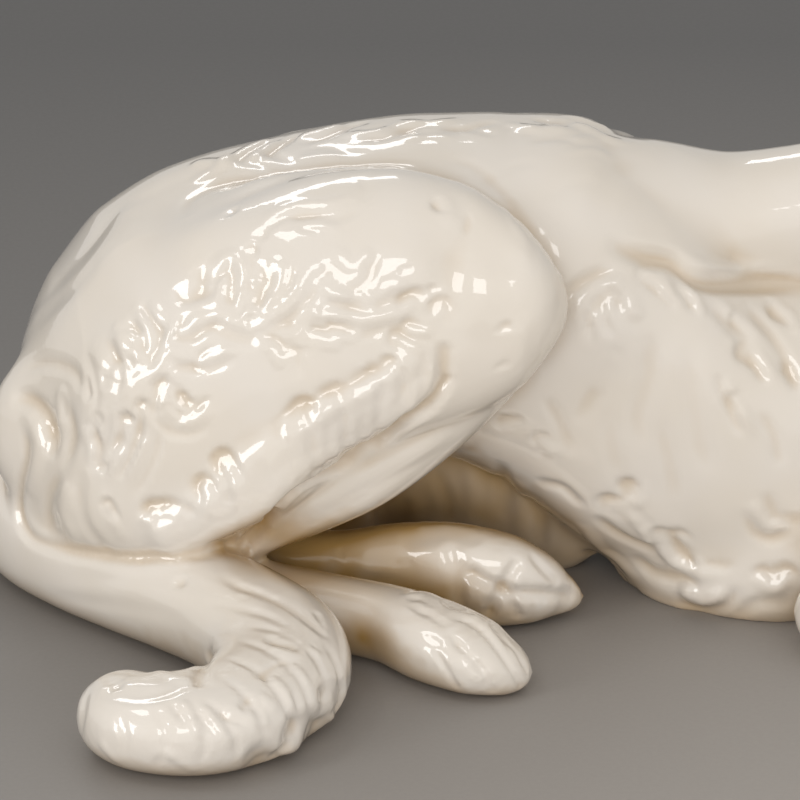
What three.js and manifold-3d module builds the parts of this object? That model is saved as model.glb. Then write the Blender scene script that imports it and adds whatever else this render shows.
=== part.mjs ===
// A lying borzoi in glazed porcelain, about 300 mm long.
// The figure is slip-cast in separate moulds, and the castings are luted together before firing.
// Millimetres, +Z up, the dog looks along +X, and its right side faces -Y.
import * as THREE from 'three';
import { mergeVertices } from 'three/addons/utils/BufferGeometryUtils.js';
import Module from 'manifold-3d';

const wasm = await Module();
wasm.setup();

// Driving dimensions
const figureLength = 302.8; // from the rump to the nose
const figureDepth = 163; // from the tail to the left foreleg
const figureHeight = 113.7; // up to the ears
const bodyWall = 4.5; // wall of the torso casting
const neckWall = 4; // wall of the neck and head castings
const thighWall = 4; // wall of the thigh castings
const tailWall = 4; // wall of the tail castings
const seam = 0.3; // gap left between luted castings
const drainRadius = 9; // drain hole in the underside of the chest
const thighVentRadius = 3.5; // vent holes from the torso into the thighs
const tailVentRadius = 3; // vent holes under the tail castings
const leftArmTuck = 0.85; // the left arm lies nearer the chest than the right one
const bodyFullness = 2.4; // 2 is an ellipse, and more is squarer
const limbFullness = 2.2;

// How finely the forms are made
const stepsBetweenSections = 2;
const domeSteps = 3;
const boreSides = 20;
const weldDistance = 1e-4;
const reach = 600; // longer than anything in the figure

// The tables and places below are drawn for a figure of this size, with the spine plane at y = 0
const drawnLength = 302.8;
const drawnDepth = 163;
const drawnHeight = 113.7;
const drawnDrainX = 10;
const drawnNeckSeamX = 42; // where the neck casting meets the torso casting
const drawnHeadPlaneY = -1.75; // the middle plane of the skull, between the ears

// Sections of each form: place of the middle x, y, z, then half width and half height
const torsoForm = [
  [-137, 0, 40, 19, 25.5],
  [-127, 0, 44, 26.5, 34.5],
  [-114, 0, 50, 31, 36.8],
  [-97, 0, 54.5, 33, 38],
  [-75, 0, 60, 33, 37.6],
  [-55, 0, 64, 32.5, 36],
  [-38, 0, 60.5, 34, 39.5],
  [-20, 0, 52.5, 36, 46],
  [-3, 0, 43.5, 37, 46.5],
  [14, 0, 34, 38, 40],
  [32, 0, 32, 36, 36],
  [48, 0, 31, 30, 30],
];
const rightHipForm = [
  [-139, -8, 45, 21, 16.5],
  [-131, -10, 47, 33, 25.5],
  [-120, -12, 48, 38, 36.5],
  [-111, -13, 51, 39.5, 38],
  [-99, -19, 58, 20, 36],
  [-85, -20, 62, 17, 35.5],
  [-62, -20, 66, 16, 32.5],
  [-46, -20, 64, 14, 29],
  [-36, -22, 62, 12, 24],
];
const leftChestFurForm = [
  [-12, 10, 9, 8, 10],
  [2, 20, 9, 12, 12],
  [18, 26, 9.5, 12.5, 13],
  [32, 25, 10, 11, 12],
];
const rightChestFurForm = leftChestFurForm.map(([x, y, z, w, h]) => [x, -y, z, w, h]);
const neckForm = [
  [-22, 0, 78, 20, 20],
  [-6, 0, 77.5, 18.5, 18],
  [10, 0, 77.5, 16, 15.6],
  [28, 0, 80.3, 15, 15.3],
  [46, 0, 84.5, 14, 15],
  [62, -0.5, 92, 13, 14],
  [76, -1.5, 98.5, 12.5, 12.8],
  [90, -3, 101, 11.5, 11.5],
  [103, -4.5, 101, 8.5, 9.5],
  [118, -6, 99.5, 6.8, 8],
  [132, -7.5, 97, 6, 7],
  [142, -8.5, 94.5, 5.2, 6],
];
const throatForm = [
  [22, 0, 58, 14, 15],
  [36, 0, 62, 14, 17],
  [50, 0, 70, 12.5, 16],
  [62, -0.5, 80, 10.5, 12.5],
  [72, -1, 89, 9, 9],
];
const rightThighForm = [
  [-141, -19, 38, 10, 19],
  [-130, -27, 42, 17, 26.5],
  [-108, -32, 53.5, 21, 37.5],
  [-85, -34, 65.5, 22, 35],
  [-62, -34, 73.5, 20, 29.5],
  [-46, -36, 75.5, 16, 24.5],
  [-36, -40, 76.5, 12, 18],
  [-30, -42, 77.5, 8, 11],
];
const rightFringeForm = [
  [-112, -46, 29, 8, 9],
  [-99, -49, 38.5, 9, 10],
  [-84, -50, 50, 10, 10.5],
  [-70, -48, 60, 9.5, 10],
  [-58, -45, 66, 8, 8.5],
];
const rightShankForm = [
  [-36, -40, 73, 8, 9],
  [-46, -39, 61, 9, 10],
  [-56, -38.5, 51, 9.5, 10.5],
  [-68, -38.5, 41, 9.5, 10.5],
  [-82, -38, 33, 9, 10],
  [-95, -36, 25, 8.5, 9],
  [-106, -32, 16, 8, 8.5],
];
const rightFootForm = [
  [-112, -29, 9, 7, 9],
  [-101, -35, 8.3, 7.5, 8.7],
  [-89, -40.5, 7.8, 7.5, 8.3],
  [-76, -46, 7.6, 7.5, 8.2],
  [-64, -52, 7.6, 8.5, 8.2],
  [-54, -61, 7.7, 10.5, 8.4],
  [-45, -67, 6.6, 10.5, 7.2],
  [-38, -69, 4.4, 7, 5],
];
const leftThighForm = [
  [-127, 14, 27, 17, 29],
  [-108, 18, 38, 20.5, 40],
  [-85, 19.5, 35, 21, 37],
  [-62, 20.5, 27.5, 20, 29],
  [-46, 20, 20.5, 17, 22],
  [-32, 18, 14, 13, 15.5],
];
const bellyFringeForm = [
  [-84, 14, 30, 13, 31],
  [-66, 9, 26, 12, 29],
  [-48, 4, 20, 11.5, 23],
  [-33, -1, 14, 10, 17],
  [-21, -6, 9, 9, 11],
];
const leftShankForm = [
  [-72, 2, 9.5, 9, 10.5],
  [-86, -6, 9, 8.5, 10],
  [-98, -12, 8.5, 8, 9.3],
];
const leftFootForm = [
  [-102, -17, 8, 7, 8.6],
  [-88, -23, 8, 7, 8.6],
  [-74, -27, 8.6, 6.5, 9],
  [-61, -30, 10.3, 6.5, 10.5],
  [-50, -33, 10.8, 8, 11.2],
  [-40, -35, 10, 8.4, 10.4],
  [-32, -34, 7.6, 6.6, 7.9],
  [-27.5, -32.5, 5.6, 4, 5],
];
const tailForm = [
  [-136, 14, 20, 13, 15],
  [-143, 2, 15.5, 13, 15.5],
  [-140, -13, 14, 12.5, 14.5],
  [-130, -26, 13, 12.5, 13.6],
  [-119, -36, 12, 12.5, 12.8],
  [-108, -45.5, 11.5, 13, 12.2],
  [-97, -56, 11, 14, 11.6],
  [-88.5, -68, 10.3, 15, 11],
  [-87, -82, 9.8, 15, 10.5],
  [-93, -96, 9.6, 15, 10.3],
  [-104, -104, 9.4, 14.5, 10],
  [-115, -102.5, 9, 13, 9.6],
  [-121.5, -95, 8, 10, 8.6],
];
const rightUpperArmForm = [
  [49, -14, 50, 13, 17],
  [45, -23.5, 38, 13, 15.5],
  [39, -34, 25, 11.5, 12.5],
  [34, -42, 14, 9.5, 9.5],
];
const rightForelegForm = [
  [28, -50, 9.4, 9, 10],
  [46, -48, 8.9, 9, 9.5],
  [68, -44, 8, 8, 8.6],
  [90, -40, 7.4, 7.5, 8],
  [106, -39, 7.6, 10, 8.3],
  [118, -39, 6.9, 10, 7.5],
  [127, -39.5, 4.6, 7.5, 5.2],
];
const leftUpperArmForm = rightUpperArmForm.map(([x, y, z, w, h]) => [x, -y * leftArmTuck, z, w, h]);
const leftForelegForm = [
  [28, 36, 9.4, 9, 10],
  [48, 33, 8.9, 9, 9.5],
  [72, 25, 8, 8, 8.6],
  [95, 15, 7.4, 7.5, 8],
  [111, 10, 7.6, 10, 8.3],
  [123, 8, 6.9, 10, 7.5],
  [132, 7.5, 4.6, 7.5, 5.2],
];
const rightEarForm = [
  [80, -12, 110, 1.6, 3.4],
  [72, -14, 108.5, 2.1, 5.2],
  [62, -15, 104, 1.9, 4.4],
  [55, -15, 100, 1.3, 2.2],
];
const leftEarForm = rightEarForm.map(([x, y, z, w, h]) => [x, 2 * drawnHeadPlaneY - y, z, w, h]);

// From the drawn size to the figure's size
const lengthwise = figureLength / drawnLength;
const sideways = figureDepth / drawnDepth;
const upright = figureHeight / drawnHeight;
const sizing = new THREE.Vector3(lengthwise, sideways, upright);
const drainX = drawnDrainX * lengthwise;
const neckSeamX = drawnNeckSeamX * lengthwise;

const up = new THREE.Vector3(0, 0, 1);
const forward = new THREE.Vector3(1, 0, 0);
const leaningBack = new THREE.Vector3(0, 0.26, 0.97); // the near thigh leans in towards the back

// What each casting's mould is made from: its sections, the sides of a section and the lengths
// of the end domes. facing holds every section square to one direction, and above is the
// direction of a section's height.
const moulds = {
  torso: {
    form: torsoForm,
    sides: 28,
    domes: [7, 15],
    hollowSides: 16,
    fullness: bodyFullness,
    facing: forward,
  },
  rightHip: { form: rightHipForm, sides: 22, domes: [5, 6], facing: forward },
  rightChestFur: { form: rightChestFurForm, sides: 16, domes: [6, 8] },
  leftChestFur: { form: leftChestFurForm, sides: 16, domes: [6, 8] },
  neck: { form: neckForm, sides: 18, domes: [6, 5], hollowSides: 12 },
  throat: { form: throatForm, sides: 16, domes: [8, 6], hollowSides: 12 },
  rightThigh: {
    form: rightThighForm,
    sides: 24,
    domes: [9, 4],
    hollowSides: 12,
    facing: forward,
    above: leaningBack,
  },
  rightFringe: { form: rightFringeForm, sides: 14, domes: [8, 8] },
  rightShank: { form: rightShankForm, sides: 14, domes: [7, 6] },
  rightFoot: { form: rightFootForm, sides: 14, domes: [5, 4.5] },
  leftThigh: { form: leftThighForm, sides: 20, domes: [8, 7], hollowSides: 12, facing: forward },
  bellyFringe: { form: bellyFringeForm, sides: 18, domes: [8, 5] },
  leftShank: { form: leftShankForm, sides: 14, domes: [6, 6] },
  leftFoot: { form: leftFootForm, sides: 14, domes: [5, 6] },
  tail: { form: tailForm, sides: 16, domes: [6, 7], hollowSides: 10 },
  rightUpperArm: { form: rightUpperArmForm, sides: 14, domes: [7, 6], above: forward },
  rightForeleg: { form: rightForelegForm, sides: 14, domes: [6, 5] },
  leftUpperArm: { form: leftUpperArmForm, sides: 14, domes: [7, 6], above: forward },
  leftForeleg: { form: leftForelegForm, sides: 14, domes: [6, 5] },
  rightEar: { form: rightEarForm, sides: 10, domes: [2, 2] },
  leftEar: { form: leftEarForm, sides: 10, domes: [2, 2] },
};
const placesOf = (form) => form.map(([x, y, z]) => new THREE.Vector3(x, y, z));
const drawnCurve = (form) => new THREE.CatmullRomCurve3(placesOf(form));
const curveOf = (form) => new THREE.CatmullRomCurve3(placesOf(form).map((place) => place.multiply(sizing)));

// A power of a sine or cosine that keeps its sign, which squares an ellipse up
function squared(value, fullness) {
  return Math.sign(value) * Math.abs(value) ** (2 / fullness);
}

// A closed body through the sections of a mould's form, with a dome at each end.
// grow swells it on every side: a seam's gap, or minus a wall.
function body(mould, grow, sides, steps) {
  const { form, domes, fullness = limbFullness, facing = null, above = up } = mould;
  const path = drawnCurve(form);
  const sizes = new THREE.CatmullRomCurve3(form.map((row) => new THREE.Vector3(row[3], row[4], 0)));
  const rings = [];
  const addRing = (middle, along, halfWidth, halfHeight) => {
    const side = new THREE.Vector3().crossVectors(along, above).normalize();
    const lift = new THREE.Vector3().crossVectors(side, along).normalize();
    const ring = [];
    for (let i = 0; i < sides; i += 1) {
      const angle = (2 * Math.PI * i) / sides;
      const point = middle.clone();
      point.addScaledVector(side, halfWidth * squared(Math.cos(angle), fullness));
      point.addScaledVector(lift, halfHeight * squared(Math.sin(angle), fullness));
      ring.push(point);
    }
    rings.push(ring);
  };
  const count = (form.length - 1) * steps;
  const station = (t) => {
    const along = facing ? facing.clone() : path.getTangent(t);
    const size = sizes.getPoint(t);
    return [path.getPoint(t), along, size.x + grow / sideways, size.y + grow / upright];
  };
  const [firstMiddle, firstAlong, firstWidth, firstHeight] = station(0);
  const [firstDome, lastDome] = domes.map((dome) => dome + grow / lengthwise);
  const firstPole = firstMiddle.clone().addScaledVector(firstAlong, -firstDome);
  for (let i = domeSteps - 1; i > 0; i -= 1) {
    const angle = (Math.PI / 2) * (i / domeSteps);
    const middle = firstMiddle.clone().addScaledVector(firstAlong, -firstDome * Math.sin(angle));
    addRing(middle, firstAlong, firstWidth * Math.cos(angle), firstHeight * Math.cos(angle));
  }
  for (let i = 0; i <= count; i += 1) {
    addRing(...station(i / count));
  }
  const [lastMiddle, lastAlong, lastWidth, lastHeight] = station(1);
  for (let i = 1; i < domeSteps; i += 1) {
    const angle = (Math.PI / 2) * (i / domeSteps);
    const middle = lastMiddle.clone().addScaledVector(lastAlong, lastDome * Math.sin(angle));
    addRing(middle, lastAlong, lastWidth * Math.cos(angle), lastHeight * Math.cos(angle));
  }
  const lastPole = lastMiddle.clone().addScaledVector(lastAlong, lastDome);

  const points = [firstPole, ...rings.flat(), lastPole];
  const index = [];
  const at = (ring, side) => 1 + ring * sides + (side % sides);
  const end = points.length - 1;
  for (let side = 0; side < sides; side += 1) {
    index.push(0, at(0, side), at(0, side + 1));
    index.push(end, at(rings.length - 1, side + 1), at(rings.length - 1, side));
    for (let ring = 0; ring < rings.length - 1; ring += 1) {
      index.push(at(ring, side), at(ring + 1, side), at(ring + 1, side + 1));
      index.push(at(ring, side), at(ring + 1, side + 1), at(ring, side + 1));
    }
  }
  const places = points.flatMap((point) => point.multiply(sizing).toArray());
  return manifold(new Float32Array(places), new Uint32Array(index));
}

function manifold(vertProperties, triVerts) {
  return new wasm.Manifold(new wasm.Mesh({ numProp: 3, vertProperties, triVerts }));
}

// A three.js geometry, placed by a matrix, as a solid for joining and cutting
function solid(geometry, matrix) {
  const plain = geometry.clone().applyMatrix4(matrix);
  plain.deleteAttribute('normal');
  plain.deleteAttribute('uv');
  const merged = mergeVertices(plain, weldDistance);
  return manifold(new Float32Array(merged.attributes.position.array), new Uint32Array(merged.index.array));
}

// A round bore between two points
function bore(from, to, radius) {
  const along = new THREE.Vector3().subVectors(to, from);
  const cylinderAxis = new THREE.Vector3(0, 1, 0);
  const turn = new THREE.Quaternion().setFromUnitVectors(cylinderAxis, along.clone().normalize());
  const middle = from.clone().addScaledVector(along, 0.5);
  const matrix = new THREE.Matrix4().compose(middle, turn, new THREE.Vector3(1, 1, 1));
  return solid(new THREE.CylinderGeometry(radius, radius, along.length(), boreSides), matrix);
}

// Everything on the side of a plane that its normal points to
function beyond(point, normal) {
  const turn = new THREE.Quaternion().setFromUnitVectors(up, normal.clone().normalize());
  const matrix = new THREE.Matrix4().compose(point, turn, new THREE.Vector3(1, 1, 1));
  const box = new THREE.BoxGeometry(reach, reach, reach).translate(0, 0, reach / 2);
  return solid(box, matrix);
}

const ground = beyond(new THREE.Vector3(0, 0, 0), up.clone().negate());

// A casting's outer form, swollen by grow, and the plainer form of its hollow inside a wall
const outer = (name, grow = 0) => body(moulds[name], grow, moulds[name].sides, stepsBetweenSections);
const hollow = (name, wall) => body(moulds[name], -wall, moulds[name].hollowSides, 1);

// A casting is its outer form, cut at the floor and by the castings that it is luted onto
function casting(name, ...carriers) {
  let shape = outer(name).subtract(ground);
  for (const carrier of carriers) {
    shape = shape.subtract(outer(carrier, seam));
  }
  return shape;
}

// A casting without the crumbs that its cuts leave
function fettled(shape) {
  return shape.decompose().reduce((most, piece) => (piece.volume() > most.volume() ? piece : most));
}

// Seams and vents, as shares of the way along the curve of the casting that they are in
const headSeamPlace = 0.5; // behind the ears
const tailSeamPlace = 0.4167; // just before the tail turns
const rootVentPlace = 0.25;
const plumeVentPlace = 0.6667;
const rightThighVentPlace = 0.43;
const leftThighVentPlace = 0.4;
const neckCurve = curveOf(neckForm);
const tailCurve = curveOf(tailForm);
const headAxis = neckCurve.getTangent(headSeamPlace);
const tailAxis = tailCurve.getTangent(tailSeamPlace);
const neckSeamAt = (gap) => new THREE.Vector3(neckSeamX + gap, 0, 0);
const headSeamAt = (gap) => neckCurve.getPoint(headSeamPlace).addScaledVector(headAxis, gap);
const tailSeamAt = (gap) => tailCurve.getPoint(tailSeamPlace).addScaledVector(tailAxis, gap);

// The torso with its chest fur and the root of the neck, hollow, drained through the chest
const neckAndThroat = outer('neck').add(outer('throat'));
const neckHollow = hollow('neck', neckWall).add(hollow('throat', neckWall));
const rightThighMiddle = curveOf(rightThighForm).getPoint(rightThighVentPlace);
const leftThighMiddle = curveOf(leftThighForm).getPoint(leftThighVentPlace);
const rightVent = bore(rightThighMiddle.clone().setY(0), rightThighMiddle, thighVentRadius);
const loin = leftThighMiddle.clone().setY(leftThighMiddle.y / 2);
const leftVent = bore(loin.clone().setZ(loin.z / 3), loin, thighVentRadius);
const drainFoot = new THREE.Vector3(drainX, 0, -seam);
const drainHead = new THREE.Vector3(drainX, 0, 2 * bodyWall + seam);
const torso = outer('torso').add(outer('rightHip')).add(outer('rightChestFur')).add(outer('leftChestFur'))
  .add(neckAndThroat.subtract(beyond(neckSeamAt(0), forward)))
  .subtract(hollow('torso', bodyWall))
  .subtract(neckHollow.subtract(beyond(neckSeamAt(0), forward)))
  .subtract(ground)
  .subtract(bore(drainFoot, drainHead, drainRadius))
  .subtract(rightVent)
  .subtract(leftVent);

// The neck and head, one hollow form cut into two castings
const foreNeck = neckAndThroat.subtract(neckHollow)
  .subtract(beyond(neckSeamAt(seam), forward.clone().negate()))
  .subtract(outer('torso', seam));
const neck = foreNeck.subtract(beyond(headSeamAt(0), headAxis));
const head = foreNeck.subtract(beyond(headSeamAt(seam), headAxis.clone().negate()));

const rightThigh = casting('rightThigh', 'torso', 'rightHip')
  .add(casting('rightFringe', 'torso', 'rightHip'))
  .subtract(hollow('rightThigh', thighWall));
const leftThigh = casting('leftThigh', 'torso', 'rightHip')
  .add(casting('bellyFringe', 'torso', 'rightHip', 'rightThigh', 'rightFringe', 'rightShank'))
  .subtract(hollow('leftThigh', thighWall));
const thighs = ['torso', 'rightHip', 'rightThigh', 'rightFringe', 'leftThigh', 'bellyFringe'];
const tailWalls = casting('tail', ...thighs, 'rightShank', 'rightFoot')
  .subtract(hollow('tail', tailWall));
const tailVent = (place) =>
  bore(tailCurve.getPoint(place).setZ(-seam), tailCurve.getPoint(place), tailVentRadius);
const castings = {
  torso_shell: torso,
  neck_shell: neck,
  head_shell: head,
  right_ear: casting('rightEar', 'neck'),
  left_ear: casting('leftEar', 'neck'),
  right_thigh_shell: rightThigh,
  right_shank: casting('rightShank', 'torso', 'rightHip', 'rightThigh', 'rightFringe'),
  right_hind_foot: casting('rightFoot', 'rightShank', ...thighs),
  left_thigh_shell: leftThigh,
  left_shank: casting('leftShank', ...thighs, 'rightShank', 'rightFoot'),
  left_hind_foot: casting('leftFoot', 'leftShank', ...thighs, 'rightShank', 'rightFoot'),
  tail_root: fettled(tailWalls.subtract(beyond(tailSeamAt(0), tailAxis)).subtract(tailVent(rootVentPlace))),
  tail_plume: fettled(tailWalls.subtract(beyond(tailSeamAt(seam), tailAxis.clone().negate()))
    .subtract(tailVent(plumeVentPlace))),
  right_upper_arm: casting('rightUpperArm', 'torso', 'neck', 'throat', 'rightChestFur'),
  right_foreleg: casting('rightForeleg', 'rightUpperArm', 'torso', 'rightChestFur'),
  left_upper_arm: casting('leftUpperArm', 'torso', 'neck', 'throat', 'leftChestFur'),
  left_foreleg: casting('leftForeleg', 'leftUpperArm', 'torso', 'leftChestFur'),
};

const glaze = { roughness: 0.12, metalness: 0 };
const figure = new THREE.Group();
for (const [name, shape] of Object.entries(castings)) {
  const { vertProperties, triVerts } = shape.getMesh();
  const geometry = new THREE.BufferGeometry();
  geometry.setAttribute('position', new THREE.BufferAttribute(vertProperties, 3));
  geometry.setIndex(new THREE.BufferAttribute(triVerts, 1));
  const mesh = new THREE.Mesh(geometry, new THREE.MeshStandardMaterial({ color: 0xe6ddd0, ...glaze }));
  mesh.name = name;
  figure.add(mesh);
}

// The middle of the footprint is the origin
const box = new THREE.Box3().setFromObject(figure);
const middle = box.getCenter(new THREE.Vector3());
figure.position.set(-middle.x, -middle.y, 0);
const borzoi = new THREE.Group();
borzoi.add(figure);

export default borzoi;
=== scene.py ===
"""A lying borzoi in cream glazed porcelain, on a grey studio table.

The castings of the CAD model are laid up again at a finer grain, run together as the potter lutes
them, modelled with strokes as the coat is modelled in the clay, and parted again at the seams.
Lengths are millimetres in the figure's own frame until a piece is finished, and metres after that.
"""
import math

import bmesh
import bpy
import numpy as np
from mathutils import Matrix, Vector, kdtree
from mathutils.bvhtree import BVHTree


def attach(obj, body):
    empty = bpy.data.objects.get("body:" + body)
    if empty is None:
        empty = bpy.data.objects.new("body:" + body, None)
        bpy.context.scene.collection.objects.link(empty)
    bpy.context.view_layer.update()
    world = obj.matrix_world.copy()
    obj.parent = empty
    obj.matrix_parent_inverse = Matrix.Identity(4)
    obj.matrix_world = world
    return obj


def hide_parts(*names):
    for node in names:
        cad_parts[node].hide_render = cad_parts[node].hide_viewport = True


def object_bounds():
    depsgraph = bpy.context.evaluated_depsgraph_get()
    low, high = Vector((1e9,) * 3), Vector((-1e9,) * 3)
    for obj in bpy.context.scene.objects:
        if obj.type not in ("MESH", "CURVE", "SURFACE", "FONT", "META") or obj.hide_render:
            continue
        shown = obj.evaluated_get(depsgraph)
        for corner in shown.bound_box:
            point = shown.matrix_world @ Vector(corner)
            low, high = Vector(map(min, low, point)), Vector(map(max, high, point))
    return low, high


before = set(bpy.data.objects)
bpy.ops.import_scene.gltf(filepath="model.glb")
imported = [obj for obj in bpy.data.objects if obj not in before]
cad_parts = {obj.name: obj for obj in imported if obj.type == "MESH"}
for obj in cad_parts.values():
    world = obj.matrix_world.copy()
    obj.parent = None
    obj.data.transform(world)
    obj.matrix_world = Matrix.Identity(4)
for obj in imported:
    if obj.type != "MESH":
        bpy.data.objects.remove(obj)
cad_box = [list(corner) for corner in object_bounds()]

MM = 0.001
FIGURE_TO_FRAME = np.array([4.4445, 36.5805, 0.0])  # from the withers to the middle of the footprint

# The camera looks square at the dog's right side, from this far above the table
ELEVATION = 24  # degrees
SIN_E, COS_E = math.sin(math.radians(ELEVATION)), math.cos(math.radians(ELEVATION))
PICTURE = 800  # pixels
PIXELS_PER_MM = 4.7
WITHERS_PIXEL = (690.0, 557.0)  # where the figure's own origin stands in the picture

CLAY_GRAIN = 0.82  # the voxel that the castings are run together with
# Where the grain is halved: left, top, right and bottom in the picture, then from and to in the figure's y
FINEST = [(76, 190, 540, 530, -90, -22), (80, 630, 370, 770, -130, -50), (400, 585, 540, 700, -90, -40),
          (470, 520, 590, 640, -50, -20)]

# Sections of the castings: middle x, y, z, then half width and half height
TORSO = [(-137, 0, 40, 19, 25.5), (-127, 0, 44, 26.5, 34.5), (-114, 0, 50, 31, 36.8), (-97, 0, 54.5, 33, 38),
         (-75, 0, 60, 33, 37.6), (-55, 0, 64, 32.5, 36), (-38, 0, 60.5, 34, 39.5), (-20, 0, 52.5, 36, 46),
         (-3, 0, 43.5, 37, 46.5), (14, 0, 34, 38, 40), (32, 0, 32, 36, 36), (48, 0, 31, 30, 30)]
RIGHT_HIP = [(-139, -8, 45, 21, 16.5), (-131, -10, 47, 33, 25.5), (-120, -12, 48, 38, 36.5), (-111, -13, 51, 39.5, 38),
             (-99, -19, 58, 20, 36), (-85, -20, 62, 17, 35.5), (-62, -20, 66, 16, 32.5), (-46, -20, 64, 14, 29),
             (-36, -22, 62, 12, 24)]
LEFT_CHEST_FUR = [(-12, 10, 9, 8, 10), (2, 20, 9, 12, 12), (18, 26, 9.5, 12.5, 13), (32, 25, 10, 11, 12)]
NECK_AND_HEAD = [(-22, 0, 78, 20, 20), (-6, 0, 77.5, 18.5, 18), (10, 0, 77.5, 16, 15.6), (28, 0, 80.3, 15, 15.3),
                 (46, 0, 84.5, 14, 15), (62, -0.5, 92, 13, 14), (76, -1.5, 98.5, 12.5, 12.8),
                 (90, -3, 101, 11.5, 11.5), (103, -4.5, 101, 8.5, 9.5), (118, -6, 99.5, 6.8, 8),
                 (132, -7.5, 97, 6, 7), (142, -8.5, 94.5, 5.2, 6)]
THROAT = [(22, 0, 58, 14, 15), (36, 0, 62, 14, 17), (50, 0, 70, 12.5, 16), (62, -0.5, 80, 10.5, 12.5),
          (72, -1, 89, 9, 9)]
RIGHT_THIGH = [(-141, -19, 38, 10, 19), (-130, -27, 42, 17, 26.5), (-108, -32, 53.5, 21, 37.5),
               (-85, -34, 65.5, 22, 35), (-62, -34, 73.5, 20, 29.5), (-46, -36, 75.5, 16, 24.5),
               (-36, -40, 76.5, 12, 18), (-30, -42, 77.5, 8, 11)]
RIGHT_FRINGE = [(-112, -46, 29, 8, 9), (-99, -49, 38.5, 9, 10), (-84, -50, 50, 10, 10.5), (-70, -48, 60, 9.5, 10),
                (-58, -45, 66, 8, 8.5)]
RIGHT_SHANK = [(-36, -40, 73, 8, 9), (-46, -39, 61, 9, 10), (-56, -38.5, 51, 9.5, 10.5),
               (-68, -38.5, 41, 9.5, 10.5), (-82, -38, 33, 9, 10), (-95, -36, 25, 8.5, 9), (-106, -32, 16, 8, 8.5)]
RIGHT_FOOT = [(-112, -29, 9, 7, 9), (-101, -35, 8.3, 7.5, 8.7), (-89, -40.5, 7.8, 7.5, 8.3),
              (-76, -46, 7.6, 7.5, 8.2), (-64, -52, 7.6, 8.5, 8.2), (-54, -61, 7.7, 10.5, 8.4),
              (-45, -67, 6.6, 10.5, 7.2), (-38, -69, 4.4, 7, 5)]
LEFT_THIGH = [(-127, 14, 27, 17, 29), (-108, 18, 38, 20.5, 40), (-85, 19.5, 35, 21, 37), (-62, 20.5, 27.5, 20, 29),
              (-46, 20, 20.5, 17, 22), (-32, 18, 14, 13, 15.5)]
LEFT_SHANK = [(-72, 2, 9.5, 9, 10.5), (-86, -6, 9, 8.5, 10), (-98, -12, 8.5, 8, 9.3)]
LEFT_FOOT = [(-102, -17, 8, 7, 8.6), (-88, -23, 8, 7, 8.6), (-74, -27, 8.6, 6.5, 9), (-61, -30, 10.3, 6.5, 10.5),
             (-50, -33, 10.8, 8, 11.2), (-40, -35, 10, 8.4, 10.4), (-32, -34, 7.6, 6.6, 7.9), (-27.5, -32.5, 5.6, 4, 5)]
BELLY_FRINGE = [(-84, 14, 30, 13, 31), (-66, 9, 26, 12, 29), (-48, 4, 20, 11.5, 23), (-33, -1, 14, 10, 17),
                (-21, -6, 9, 9, 11)]
TAIL = [(-136, 14, 20, 13, 15), (-143, 2, 15.5, 13, 15.5), (-140, -13, 14, 12.5, 14.5), (-130, -26, 13, 12.5, 13.6),
        (-119, -36, 12, 12.5, 12.8), (-108, -45.5, 11.5, 13, 12.2), (-97, -56, 11, 14, 11.6),
        (-88.5, -68, 10.3, 15, 11), (-87, -82, 9.8, 15, 10.5), (-93, -96, 9.6, 15, 10.3), (-104, -104, 9.4, 14.5, 10),
        (-115, -102.5, 9, 13, 9.6), (-121.5, -95, 8, 10, 8.6)]
RIGHT_UPPER_ARM = [(49, -14, 50, 13, 17), (45, -23.5, 38, 13, 15.5), (39, -34, 25, 11.5, 12.5), (34, -42, 14, 9.5, 9.5)]
RIGHT_FORELEG = [(28, -50, 9.4, 9, 10), (46, -48, 8.9, 9, 9.5), (68, -44, 8, 8, 8.6), (90, -40, 7.4, 7.5, 8),
                 (106, -39, 7.6, 10, 8.3), (118, -39, 6.9, 10, 7.5), (127, -39.5, 4.6, 7.5, 5.2)]
LEFT_FORELEG = [(28, 36, 9.4, 9, 10), (48, 33, 8.9, 9, 9.5), (72, 25, 8, 8, 8.6), (95, 15, 7.4, 7.5, 8),
                (111, 10, 7.6, 10, 8.3), (123, 8, 6.9, 10, 7.5), (132, 7.5, 4.6, 7.5, 5.2)]
RIGHT_EAR = [(80, -12, 110, 1.6, 3.4), (72, -14, 108.5, 2.1, 5.2), (62, -15, 104, 1.9, 4.4), (55, -15, 100, 1.3, 2.2)]
HEAD_PLANE_Y = -1.75  # the two ears mirror about it
LEFT_ARM_TUCK = 0.85  # how far from the spine the left upper arm lies, as a share of the right one's distance
UP = (0.0, 0.0, 1.0)
FORWARD = (1.0, 0.0, 0.0)
LEANING_BACK = (0.0, 0.26, 0.97)
DOME_RINGS = 7


def across_spine(sections, tuck=1.0, plane=0.0):
    """The same sections on the other side of the dog."""
    return [(x, 2 * plane - y * tuck, z, w, h) for x, y, z, w, h in sections]


def through(points, count):
    """A smooth curve through the points, as the CAD model's own curves run, at count + 1 even shares."""
    p = np.asarray(points, float)
    p = np.vstack([2 * p[0] - p[1], p, 2 * p[-1] - p[-2]])
    spans = len(p) - 3
    share = np.linspace(0, spans, count + 1)
    first = np.minimum(share.astype(int), spans - 1)
    t = (share - first)[:, None]
    a, b, c, d = (p[first + k] for k in range(4))
    gap = [np.maximum(np.linalg.norm(v - u, axis=1, keepdims=True), 1e-4) ** 0.5 for u, v in ((a, b), (b, c), (c, d))]
    leave = ((b - a) / gap[0] - (c - a) / (gap[0] + gap[1]) + (c - b) / gap[1]) * gap[1]
    enter = ((c - b) / gap[1] - (d - b) / (gap[1] + gap[2]) + (d - c) / gap[2]) * gap[1]
    return b + leave * t + (3 * (c - b) - 2 * leave - enter) * t**2 + (2 * (b - c) + leave + enter) * t**3


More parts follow.
